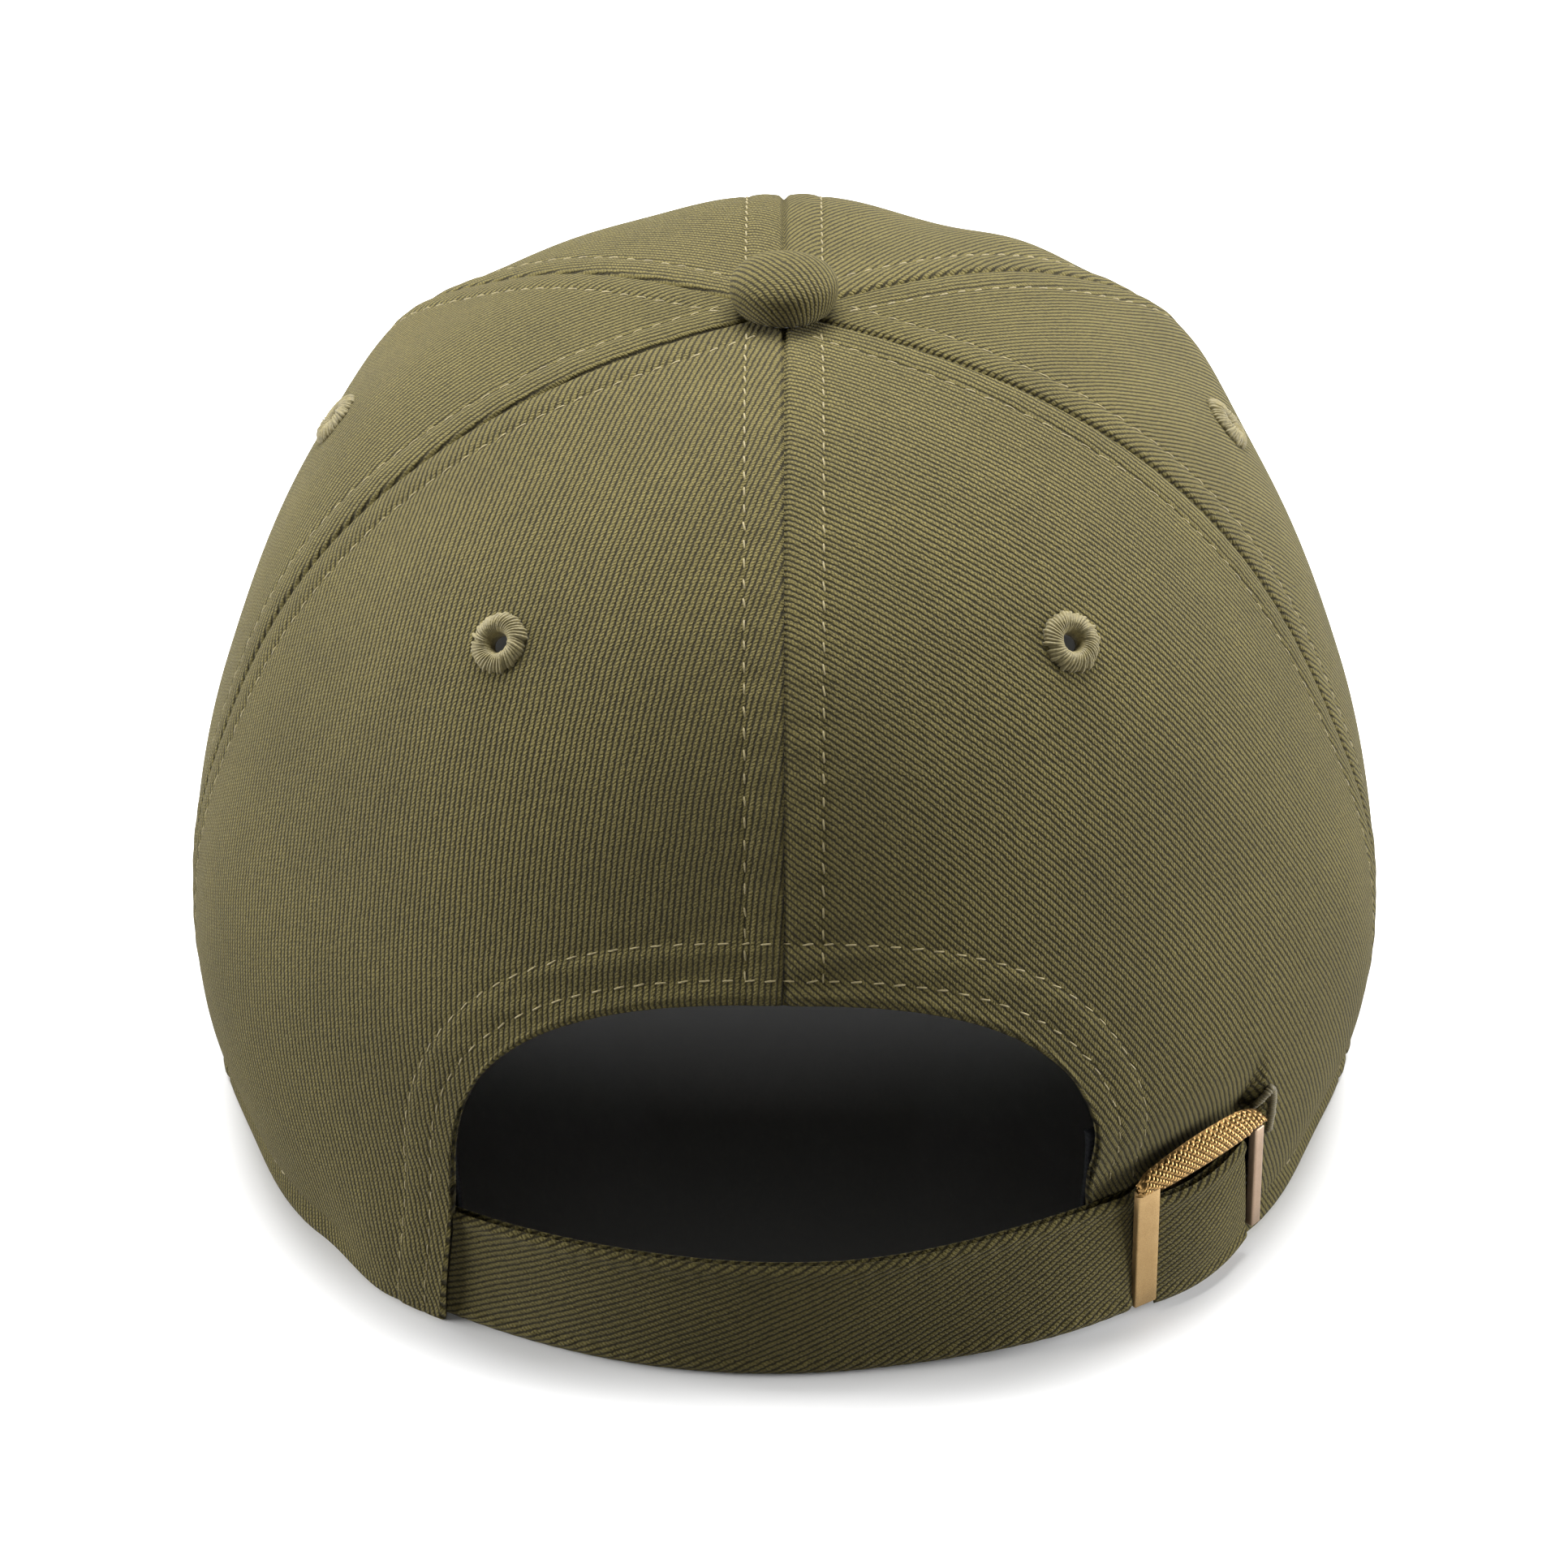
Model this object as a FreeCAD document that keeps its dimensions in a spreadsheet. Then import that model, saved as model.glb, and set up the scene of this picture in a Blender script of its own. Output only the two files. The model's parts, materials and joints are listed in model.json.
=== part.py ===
import FreeCAD, Part
import math
import os
import Sketcher

# Six-panel baseball cap: fabric crown with a rear arch, a curved visor, a self-fabric strap
# that slides through a brass slide buckle, a sweatband and the pieces hidden inside.
#
# Frame, in millimetres: +Z is up and Z = 0 is the plane that the rear hem rests on. The visor
# points towards -Y, the strap is at +Y, and +X is the wearer's left. The origin is the centre
# of the head opening, straight under the button.
#
# Directions round the crown are angles in degrees: 0 is the rear, 90 the wearer's left,
# 180 the front and -90 the wearer's right. "Inset" is a depth under the crown's outer surface.

Vector = FreeCAD.Vector
NODES_FOLDER = "parts"

# ---------------------------------------------------------------------------
# Driving dimensions
# ---------------------------------------------------------------------------
DIMENSIONS = {
    # crown form
    "crown_height": 117.5,
    "rim_half_width": 84.0,
    "rear_reach": 92.6,
    "front_reach": 93.4,
    "side_upper_power": 3.0,
    "side_round_power": 2.85,
    "end_upper_power": 2.58,
    "end_round_power": 2.75,
    "front_outline_power": 2.2,
    "belly": 0.05,
    "belly_height": 69.7,
    "cloth": 1.0,
    # seams: directions at the button and at the rim
    "rear_seam_top": 60.0,
    "rear_seam_rim": 84.0,
    "front_seam_top": 120.0,
    "front_seam_rim": 128.0,
    "crown_hole_radius": 2.0,
    # clearances
    "layer_gap": 0.06,
    "sliding_gap": 0.35,
    # rear arch and rim line
    "arch_half_width": 45.5,
    "arch_spring_height": 25.0,
    "arch_top_height": 57.5,
    "arch_power": 2.4,
    "arch_splay": 3.0,
    "facing_width": 9.0,
    "facing_cloth": 0.7,
    "flat_rim_to": 25.0,
    "visor_end": -38.0,
    # inner layers
    "lining": 0.6,
    "tape": 0.5,
    "tape_width": 12.0,
    "tape_stop_radius": 13.0,
    "sweatband": 0.8,
    "sweatband_height": 30.0,
    "sweatband_lift": 0.8,
    # strap
    "strap_width": 18.2,
    "strap_lift": 2.6,
    "strap_ply": 0.85,
    "strap_hidden_end": 56.0,
    "strap_tail_end": -56.0,
    # buckle and tab
    "buckle_direction": -42.3,
    "buckle_width": 25.6,
    "bar_width": 2.8,
    "plate_width": 2.6,
    "bar_thick": 1.2,
    "bar_stand_off": 1.2,
    "middle_bar_width": 5.0,
    "middle_bar_thick": 1.0,
    "top_rail_height": 2.4,
    "bottom_rail_height": 1.5,
    "rail_gap": 0.7,
    "tab": 0.7,
    "tab_width": 13.0,
    "tab_length": 16.0,
    # tuck slot for the strap's tail
    "slot_direction": -49.2,
    "slot_above_strap": 9.2,
    "slot_half_width": 1.3,
    "slot_bead": 0.6,
    # eyelets
    "eyelet_ring_radius": 2.8,
    "eyelet_bead_radius": 1.35,
    "rear_eyelet_distance": 73.5,
    "side_eyelet_distance": 71.5,
    "front_eyelet_distance": 72.0,
    # button
    "button_radius": 7.6,
    "button_rise": 5.6,
    "button_cloth": 0.8,
    "button_shell_wall": 0.6,
    "button_lift": 0.5,
    "rivet_radius": 1.4,
    "washer_radius": 6.5,
    "washer_thick": 0.8,
    # visor
    "visor_arc_radius": 145.0,
    "visor_front_height": 31.0,
    "visor_slope": 4.0,
    "visor_side_overhang": 4.5,
    "visor_widest_at": -62.0,
    "visor_tip": -163.0,
    "visor_outline_power": 2.3,
    "visor_board": 2.0,
    "visor_cover": 0.8,
    "visor_hem": 1.5,
}

doc = FreeCAD.newDocument("baseball_cap")
sheet = doc.addObject("Spreadsheet::Sheet", "dims")
for row, (alias, value) in enumerate(DIMENSIONS.items(), start=1):
    sheet.set("A%d" % row, alias)
    sheet.set("B%d" % row, str(value))
    sheet.setAlias("B%d" % row, alias)
doc.recompute()


def size(alias):
    """The sheet's value under this alias."""
    return float(getattr(sheet, alias))


nodes = []


def keep(thing, label):
    """Name a finished sub-part; its label is the name of its file."""
    thing.Label = label
    nodes.append(thing)
    return thing


def add_shape(label, shape, placement=FreeCAD.Placement()):
    """A sub-part whose form comes straight from Part's functions."""
    thing = doc.addObject("Part::Feature", label)
    thing.Shape = shape
    thing.Placement = placement
    return keep(thing, label)


# ---------------------------------------------------------------------------
# Crown form
# ---------------------------------------------------------------------------
HEIGHT = size("crown_height")


def reach(rim_value, upper_power, round_power, z):
    """Horizontal reach at height z of a profile that closes at the crown's top."""
    closing = max(1.0 - (max(z, 0.0) / HEIGHT) ** upper_power, 0.0) ** (1.0 / round_power)
    swell = 1.0 + size("belly") * math.sin(math.pi * min(z / size("belly_height"), 1.0))
    return rim_value * closing * swell


def level(z):
    """Half width, circle centre and front half length of the crown's outline at height z."""
    half_width = reach(size("rim_half_width"), size("side_upper_power"), size("side_round_power"), z)
    rear = reach(size("rear_reach"), size("end_upper_power"), size("end_round_power"), z)
    front = reach(size("front_reach"), size("end_upper_power"), size("end_round_power"), z)
    centre = rear - half_width
    return half_width, centre, front + centre


def outline_point(direction, z):
    """A point of the crown's outer surface: a circle at the rear, a rounded oval in front."""
    half_width, centre, front_half = level(z)
    across = math.sin(math.radians(direction))
    along = math.cos(math.radians(direction))
    if along >= 0.0:
        return Vector(half_width * across, centre + half_width * along, z)
    power = size("front_outline_power")
    rho = (abs(across) ** power + abs(along) ** power) ** (-1.0 / power)
    return Vector(half_width * across * rho, centre + front_half * along * rho, z)


def crown_normal(direction, z):
    """The outward normal of the crown's surface."""
    step_z = min(0.5, 0.3 * (HEIGHT - z))
    around = outline_point(direction + 0.3, z) - outline_point(direction - 0.3, z)
    upward = outline_point(direction, z + step_z) - outline_point(direction, z - step_z)
    return around.cross(upward).normalize() * -1.0


def crown_point(direction, z, inset=0.0):
    """A point at this depth under the crown's outer surface."""
    return outline_point(direction, z) - crown_normal(direction, z) * inset


def seam_direction(top, rim, z):
    """A seam's direction at height z: it swings from its top value to its rim value."""
    sweep = max(1.0 - (max(z, 0.0) / HEIGHT) ** 2.6, 0.0) ** 0.64
    return top + (rim - top) * sweep


def height_at_radius(radius):
    """The height where the side profile has closed to this radius, near the top."""
    share = radius / size("rim_half_width")
    return HEIGHT * (1.0 - share ** size("side_round_power")) ** (1.0 / size("side_upper_power"))


def crown_rows(bottom, top_radius):
    """Heights for a crown surface: even steps up the wall, then even steps in radius."""
    wall_top = 0.76 * HEIGHT
    wall_steps = 11
    heights = [bottom + (wall_top - bottom) * i / wall_steps for i in range(wall_steps + 1)]
    shoulder = level(wall_top)[0]
    top_steps = 9
    for i in range(1, top_steps + 1):
        heights.append(height_at_radius(shoulder + (top_radius - shoulder) * i / top_steps))
    return heights


def layer_solid(low_side, high_side, heights, outer_inset, thickness, columns=10):
    """A closed layer of the crown between two side lines, which give a direction at a height."""
    def face_grid(inset):
        grid = []
        for i in range(columns + 1):
            share = i / columns
            line = []
            for z in heights:
                direction = low_side(z) + (high_side(z) - low_side(z)) * share
                line.append(crown_point(direction, z, inset))
            grid.append(line)
        return grid

    return solid_between(face_grid(outer_inset), face_grid(outer_inset + thickness))


def solid_between(outer_grid, inner_grid):
    """A closed solid between two smooth surfaces, with ruled walls round the edge."""
    outer, inner = Part.BSplineSurface(), Part.BSplineSurface()
    outer.interpolate(outer_grid)
    inner.interpolate(inner_grid)
    faces = [outer.toShape(), inner.toShape()]
    first_u, last_u, first_v, last_v = outer.bounds()
    for u in (first_u, last_u):
        faces.append(Part.makeRuledSurface(outer.uIso(u).toShape(), inner.uIso(u).toShape()))
    for v in (first_v, last_v):
        faces.append(Part.makeRuledSurface(outer.vIso(v).toShape(), inner.vIso(v).toShape()))
    shell = Part.Shell(faces)
    shell.sewShape()
    solid = Part.Solid(shell)
    if solid.Volume < 0:
        solid.reverse()
    return solid


# ---------------------------------------------------------------------------
# Rim line and visor surface
# ---------------------------------------------------------------------------
def visor_height(x, y, above_board_middle=0.0):
    """Height of the visor's curved sheet at a plan position."""
    arc_radius = size("visor_arc_radius") + above_board_middle
    axis_height = size("visor_front_height") - size("visor_arc_radius")
    rise = (y + size("front_reach")) * math.tan(math.radians(size("visor_slope")))
    return axis_height + rise + math.sqrt(arc_radius ** 2 - x ** 2)


VISOR_STACK = size("visor_board") / 2 + size("layer_gap") + size("visor_cover")


def rim_width(y):
    """Half width of the crown's outline at the rim, at this y."""
    half_width, centre, front_half = level(0.0)
    if y >= centre:
        return math.sqrt(max(half_width ** 2 - (y - centre) ** 2, 0.0))
    share = min((centre - y) / front_half, 1.0)
    power = size("front_outline_power")
    return half_width * (1.0 - share ** power) ** (1.0 / power)


def rim_height(y):
    """Rim line: flat behind, then rising smoothly onto the top of the visor."""
    if y >= size("flat_rim_to"):
        return 0.0
    share = min((size("flat_rim_to") - y) / (size("flat_rim_to") - size("visor_end")), 1.0)
    ease = share * share * (3.0 - 2.0 * share)
    on_visor = visor_height(rim_width(y), y, VISOR_STACK) + size("layer_gap")
    return ease * on_visor


def smooth_edge(points):
    """One smooth edge through the points."""
    curve = Part.BSplineCurve()
    curve.interpolate(points)
    return curve.toShape()


def below_rim(lift=0.0):
    """Everything under the rim line, raised by lift, as one cutting solid."""
    front = -size("front_reach") - 1.0
    start = size("flat_rim_to")
    steps = 12
    curve_points = []
    for i in range(steps + 1):
        y = start + (front - start) * i / steps
        curve_points.append(Vector(0, y, rim_height(y) + lift))
    rising = smooth_edge(curve_points)
    end = curve_points[-1]
    corners = [curve_points[0], Vector(0, 150, lift), Vector(0, 150, -60), Vector(0, -150, -60),
               Vector(0, -150, end.z), end]
    edges = [Part.LineSegment(corners[i + 1], corners[i]).toShape() for i in range(len(corners) - 1)]
    face = Part.Face(Part.Wire(Part.__sortEdges__(edges + [rising])))
    face.translate(Vector(-150, 0, 0))
    return face.extrude(Vector(300, 0, 0))


def arch_region(margin=0.0, floor=-20.0):
    """The rear arch as a solid that runs back through the crown, widened by margin."""
    half = size("arch_half_width") + margin
    spring = size("arch_spring_height")
    rise = size("arch_top_height") + margin - spring
    power = size("arch_power")
    curve_points = []
    steps = 24
    for i in range(steps + 1):
        angle = math.pi * i / steps
        across = math.copysign(abs(math.cos(angle)) ** (2.0 / power), math.cos(angle))
        upward = math.sin(angle) ** (2.0 / power)
        curve_points.append(Vector(half * across, 0, spring + rise * upward))
    arch = smooth_edge(curve_points)
    foot = half + size("arch_splay") * (spring - floor) / spring
    corners = [curve_points[-1], Vector(-foot, 0, floor), Vector(foot, 0, floor), curve_points[0]]
    edges = [Part.LineSegment(corners[i], corners[i + 1]).toShape() for i in range(3)]
    face = Part.Face(Part.Wire(Part.__sortEdges__([arch] + edges)))
    face.translate(Vector(0, 20, 0))
    return face.extrude(Vector(0, 120, 0))


def turning_centre():
    """Centre of the rear circle of the rim, which the strap is concentric with."""
    return Vector(0, level(0.0)[1], 0)


def sector(radius, bottom, top, low_direction, high_direction):
    """A pie slice about the strap's centre between two directions."""
    start = turning_centre() + Vector(0, 0, bottom)
    slice_solid = Part.makeCylinder(radius, top - bottom, start, Vector(0, 0, 1),
                                    high_direction - low_direction)
    return slice_solid.rotate(start, Vector(0, 0, 1), 90.0 - high_direction)


# ---------------------------------------------------------------------------
# Strap, tab and buckle: where they lie
# ---------------------------------------------------------------------------
STRAP_INSET = size("cloth") + size("sliding_gap")
STRAP_TOP = size("strap_lift") + size("strap_width")
STRAP_THICK = 2 * size("strap_ply") + size("layer_gap")
STRAP_MIDDLE = size("strap_lift") + size("strap_width") / 2


def strap_radius(z):
    """Outer radius of the strap: a cone that follows the wall's lean inside it."""
    low = level(size("strap_lift"))[0] - STRAP_INSET
    high = level(STRAP_TOP)[0] - STRAP_INSET
    share = (z - size("strap_lift")) / size("strap_width")
    return low + (high - low) * share


WALL_LEAN = math.degrees(math.atan2(strap_radius(STRAP_TOP) - strap_radius(size("strap_lift")),
                                    size("strap_width")))
BAR_OUTER = size("bar_stand_off") + size("bar_thick")
MIDDLE_BAR_OUTER = -STRAP_THICK - size("sliding_gap")
MIDDLE_BAR_INNER = MIDDLE_BAR_OUTER - size("middle_bar_thick")
NOTCH_TOP = (STRAP_MIDDLE + (size("strap_width") / 2 + size("rail_gap") + size("top_rail_height"))
             * math.cos(math.radians(WALL_LEAN)) + 2 * size("sliding_gap"))
NOTCH_END = size("buckle_direction") - math.degrees(
    math.atan2(size("buckle_width") / 2 + 2 * size("sliding_gap"), strap_radius(STRAP_MIDDLE)))


def cone_band(label, outer_offset, thickness, low, high, first_direction, last_direction):
    """A revolved band that leans with the wall; offsets count inwards from the strap's face."""
    body = doc.addObject("PartDesign::Body", label)
    sketch = body.newObject("Sketcher::SketchObject", label + "_section")
    plane = [item for item in body.Origin.OriginFeatures if item.Role == "XZ_Plane"][0]
    sketch.AttachmentSupport = (plane, [""])
    sketch.MapMode = "FlatFace"
    corners = [(strap_radius(low) - outer_offset, low), (strap_radius(high) - outer_offset, high),
               (strap_radius(high) - outer_offset - thickness, high),
               (strap_radius(low) - outer_offset - thickness, low)]
    close_polygon(sketch, corners)
    turn = body.newObject("PartDesign::Revolution", label + "_turn")
    turn.Profile = sketch
    turn.ReferenceAxis = (sketch, ["V_Axis"])
    turn.Angle = abs(last_direction - first_direction)
    turn.Midplane = True
    body.Tip = turn
    middle = (first_direction + last_direction) / 2.0
    body.Placement = FreeCAD.Placement(turning_centre(),
                                       FreeCAD.Rotation(Vector(0, 0, 1), 90.0 - middle))
    doc.recompute()
    return keep(body, label)


def close_polygon(sketch, corners):
    """Straight closed outline in a sketch, with each corner placed from the origin."""
    count = len(corners)
    for i, corner in enumerate(corners):
        following = corners[(i + 1) % count]
        sketch.addGeometry(Part.LineSegment(Vector(corner[0], corner[1], 0),
                                            Vector(following[0], following[1], 0)), False)
    for i in range(count):
        sketch.addConstraint(Sketcher.Constraint("Coincident", i, 2, (i + 1) % count, 1))
    for i, corner in enumerate(corners):
        sketch.addConstraint(Sketcher.Constraint("DistanceX", -1, 1, i, 1, corner[0]))
        sketch.addConstraint(Sketcher.Constraint("DistanceY", -1, 1, i, 1, corner[1]))


# ---------------------------------------------------------------------------
# Eyelets
# ---------------------------------------------------------------------------
def height_down_line(line, distance):
    """Height on a line down the crown, at this distance along the cloth from the top."""
    z = HEIGHT * 0.99999
    here = crown_point(line(z), z)
    travelled = math.hypot(here.x, here.y)
    while travelled < distance:
        z -= 0.002 + 0.05 * min(HEIGHT - z, 8.0)
        after = crown_point(line(z), z)
        travelled += (after - here).Length
        here = after
    return z


def seam(name):
    """The direction of each seam as a function of height."""
    top, rim = {"rear": (0.0, 0.0), "rear_side": (size("rear_seam_top"), size("rear_seam_rim")),
                "front_side": (size("front_seam_top"), size("front_seam_rim")),
                "front": (180.0, 180.0)}[name]
    return lambda z: seam_direction(top, rim, z)


def mirrored(line):
    """The same line on the wearer's right."""
    return lambda z: -line(z)


def halfway(low_line, high_line):
    return lambda z: (low_line(z) + high_line(z)) / 2.0


PANELS = {"rear": ("rear", "rear_side", "rear_eyelet_distance"),
          "side": ("rear_side", "front_side", "side_eyelet_distance"),
          "front": ("front_side", "front", "front_eyelet_distance")}


def eyelet_axis(line, distance_alias):
    """Centre of an eyelet in the middle of the cloth, and the direction it faces."""
    z = height_down_line(line, size(distance_alias))
    return crown_point(line(z), z, size("cloth") / 2), crown_normal(line(z), z)


def make_eyelet(label, line, distance_alias):
    """An embroidered ring set through the panel, and the hole that the panel has for it."""
    middle, normal = eyelet_axis(line, distance_alias)
    ring = doc.addObject("Part::Torus", label)
    ring.setExpression("Radius1", "dims.eyelet_ring_radius")
    ring.setExpression("Radius2", "dims.eyelet_bead_radius")
    ring.Placement = FreeCAD.Placement(middle, FreeCAD.Rotation(Vector(0, 0, 1), normal))
    doc.recompute()
    keep(ring, label)
    hole = Part.makeCylinder(size("eyelet_ring_radius"), 12.0, middle - normal * 6.0, normal)
    return hole.fuse(ring.Shape)


# ---------------------------------------------------------------------------
# Tuck slot: a satin-stitched vertical buttonhole, its lower part behind the buckle
# ---------------------------------------------------------------------------
def slot_frame():
    """Placement at the slot's upper end: local Z out of the cloth, local Y up the wall."""
    strap_top = size("strap_lift") + size("strap_width")
    z = strap_top + size("slot_above_strap") - size("slot_half_width")
    direction = size("slot_direction")
    normal = crown_normal(direction, z)
    around = Vector(0, 0, 1).cross(normal).normalize()
    upward = normal.cross(around)
    rotation = FreeCAD.Rotation(around, upward, normal, "ZXY")
    return FreeCAD.Placement(crown_point(direction, z, size("cloth") / 2), rotation)


def make_slot_stitching():
    """A bead round the slot's upper end, open where the buckle hides it."""
    half = size("slot_half_width")
    bead = size("slot_bead") + size("cloth") / 2
    leg = slot_frame().Base.z - NOTCH_TOP - bead
    loop = Part.makeTorus(half + bead, bead, Vector(0, 0, 0), Vector(0, 0, 1), 0, 360, 180)
    pieces = []
    for side in (-1, 1):
        pieces.append(Part.makeCylinder(bead, leg, Vector(side * (half + bead), 0, 0), Vector(0, -1, 0)))
    stitching = loop.multiFuse(pieces).removeSplitter()
    return add_shape("tuck_slot_stitching", stitching, slot_frame())


def slot_hole(stitching):
    """What the panel loses at the slot: the bead and the cut between its legs."""
    half = size("slot_half_width")
    bead = size("slot_bead") + size("cloth") / 2
    cut = Part.makeBox(2 * half + bead, 14.0, 6.0, Vector(-half - bead / 2, -14.0, -3.0))
    cut = cut.fuse(Part.makeCylinder(half + bead / 2, 6.0, Vector(0, 0, -3.0)))
    cut.Placement = slot_frame()
    return cut.fuse(stitching.Shape)


# ---------------------------------------------------------------------------
# Crown panels, seam tapes, linings, sweatband and arch facing
# ---------------------------------------------------------------------------
def make_panels():
    """Six panels cut to the rim line, the arch, the strap's notch and the holes."""
    heights = crown_rows(-4.0, size("crown_hole_radius"))
    rim_cut = below_rim()
    arch_cut = arch_region()
    slot_cut = slot_hole(make_slot_stitching())
    notch = sector(size("rim_half_width") + 30.0, -5.0, NOTCH_TOP, NOTCH_END, -20.0)
    visor_cut = visor_room()
    for place, (low_name, high_name, distance_alias) in PANELS.items():
        for side in ("left", "right"):
            low_line, high_line = seam(low_name), seam(high_name)
            if side == "right":
                low_line, high_line = mirrored(high_line), mirrored(low_line)
            panel = layer_solid(low_line, high_line, heights, 0.0, size("cloth"))
            cuts = [rim_cut, make_eyelet("%s_%s_eyelet" % (place, side), halfway(low_line, high_line),
                                         distance_alias)]
            if place == "front":
                cuts.append(visor_cut)
            if place == "rear":
                cuts.append(arch_cut)
                if side == "right":
                    cuts += [notch, slot_cut]
            for cut in cuts:
                panel = panel.cut(cut)
            add_shape("%s_%s_panel" % (place, side), biggest(panel))


def visor_room():
    """The visor's own thickness with a gap, which the front panels stop short of."""
    low = -size("visor_board")
    room = visor_sheet(low, VISOR_STACK + size("layer_gap"))
    ahead = Part.makeBox(400, 200, 200, Vector(-200, size("visor_end") - 200, -20))
    return room.common(ahead)


def biggest(shape):
    """The largest solid of a shape, when a cut leaves crumbs."""
    return max(shape.Solids, key=lambda solid: solid.Volume)


def make_tapes():
    """A tape under each seam, stopping short of the washer under the button."""
    inset = size("cloth") + size("lining") + 2 * size("layer_gap")
    heights = crown_rows(-4.0, size("tape_stop_radius"))
    rim_cut = below_rim(size("sweatband_lift"))
    lines = {"rear": seam("rear"), "rear_left": seam("rear_side"), "rear_right": mirrored(seam("rear_side")),
             "front_left": seam("front_side"), "front_right": mirrored(seam("front_side")),
             "front": seam("front")}
    for name, line in lines.items():
        def edge(share, line=line):
            def direction(z):
                here = outline_point(line(z), z)
                return line(z) + share * math.degrees(size("tape_width") / 2 / math.hypot(here.x, here.y))
            return direction
        tape = layer_solid(edge(-1), edge(1), heights, inset, size("tape"), columns=4)
        tape = tape.cut(rim_cut)
        if name == "rear":
            tape = tape.cut(arch_region(size("layer_gap")))
        add_shape("seam_tape_%s" % name, biggest(tape))


def make_linings():
    """The stiff black backing of each front panel."""
    heights = crown_rows(-4.0, size("tape_stop_radius"))
    rim_cut = below_rim(size("sweatband_lift"))
    inset = size("cloth") + size("layer_gap")
    margin = 1.5
    for side, sign in (("left", 1), ("right", -1)):
        def outer_edge(z, sign=sign):
            return sign * (seam("front_side")(z) + margin)

        def centre_edge(z, sign=sign):
            return sign * (180.0 - 0.4)
        lining = layer_solid(outer_edge, centre_edge, heights, inset, size("lining"))
        middle, normal = eyelet_axis(halfway(seam("front_side"), seam("front")), "front_eyelet_distance")
        middle.x *= sign
        normal.x *= sign
        piercing = Part.makeCylinder(size("eyelet_ring_radius") + size("eyelet_bead_radius")
                                     + size("layer_gap"), 12.0, middle - normal * 6.0, normal)
        add_shape("front_lining_%s" % side, biggest(lining.cut(rim_cut).cut(piercing)))


SWEATBAND_INSET = STRAP_INSET - MIDDLE_BAR_INNER + size("tab") + 2 * size("sliding_gap")


def arch_edge_direction(z, margin=0.0):
    """Direction of the arch's edge below its spring line."""
    foot = size("arch_half_width") + margin + size("arch_splay") * (1.0 - z / size("arch_spring_height"))
    return math.degrees(math.asin(foot / level(z)[0]))


def make_sweatband():
    """A band inside the rim from one end of the arch, round the front, to the other."""
    top = size("sweatband_lift") + size("sweatband_height")
    lowest = size("sweatband_lift")
    rows = 5
    end = arch_edge_direction(lowest) - 1.0
    columns = 44

    def grid(inset):
        lines = []
        for i in range(columns + 1):
            direction = end + (360.0 - 2 * end) * i / columns
            lines.append([])
            for j in range(rows + 1):
                floor_point = outline_point(direction, 0.0)
                bottom = rim_height(floor_point.y) + lowest
                z = bottom + (top - lowest) * j / rows
                lines[-1].append(crown_point(direction, z, inset))
        return lines

    band = solid_between(grid(SWEATBAND_INSET), grid(SWEATBAND_INSET + size("sweatband")))
    add_shape("sweatband", band)


def make_arch_facing():
    """The turned-in strip behind the arch's edge, above the strap."""
    inset = size("cloth") + size("layer_gap")
    heights = [12.0 + 6.0 * i for i in range(12)]
    facing = layer_solid(lambda z: -50.0, lambda z: 50.0, heights, inset, size("facing_cloth") - 0.2)
    facing = facing.common(arch_region(size("facing_width"), floor=5.0))
    facing = facing.cut(arch_region(size("layer_gap")))
    above = Part.makeBox(300, 300, 200, Vector(-150, -150, NOTCH_TOP + size("sliding_gap")))
    add_shape("arch_facing", biggest(facing.common(above)))


# ---------------------------------------------------------------------------
# Button
# ---------------------------------------------------------------------------
def button_half(radius, bottom, rise, wall):
    """Half section of a domed cap: corners of a rounded hat, thick by wall, open below."""
    def dome(inner):
        points = []
        steps = 8
        for i in range(steps + 1):
            angle = math.pi / 2 * i / steps
            points.append(Vector((radius - inner) * math.cos(angle) ** 0.75, 0,
                                 bottom + (rise - inner) * math.sin(angle) ** 0.9))
        return points

    outside, inside = dome(0.0), dome(wall)
    outside[-1].x = 0.0
    inside[-1].x = 0.0
    edges = [smooth_edge(outside), Part.LineSegment(outside[-1], inside[-1]).toShape(),
             smooth_edge(inside[::-1]), Part.LineSegment(inside[0], outside[0]).toShape()]
    face = Part.Face(Part.Wire(edges))
    return face.revolve(Vector(0, 0, 0), Vector(0, 0, 1), 360)


def make_button():
    """Fabric-covered button, its metal shell, the rivet through the crown and the washer inside."""
    gap = size("layer_gap")
    base = HEIGHT + size("button_lift")
    cover = button_half(size("button_radius"), base, size("button_rise"), size("button_cloth"))
    add_shape("button_cover", cover)
    inner_radius = size("button_radius") - size("button_cloth") - gap
    shell_rise = size("button_rise") - size("button_cloth") - gap
    add_shape("button_shell", button_half(inner_radius, base, shell_rise, size("button_shell_wall")))
    inside_top = HEIGHT - size("cloth") - gap
    washer_bottom = inside_top - 1.0 - size("washer_thick")
    rivet_top = base + shell_rise - size("button_shell_wall") - gap
    rivet = Part.makeCylinder(size("rivet_radius"), rivet_top - washer_bottom, Vector(0, 0, washer_bottom))
    flange = Part.makeCylinder(inner_radius - size("button_shell_wall") - gap, 0.5,
                               Vector(0, 0, HEIGHT + gap))
    add_shape("button_rivet", rivet.fuse(flange).removeSplitter())
    washer = Part.makeCylinder(size("washer_radius"), size("washer_thick"), Vector(0, 0, washer_bottom))
    washer = washer.cut(Part.makeCylinder(size("rivet_radius") + gap, 10, Vector(0, 0, washer_bottom - 5)))
    add_shape("button_washer", washer)


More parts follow.
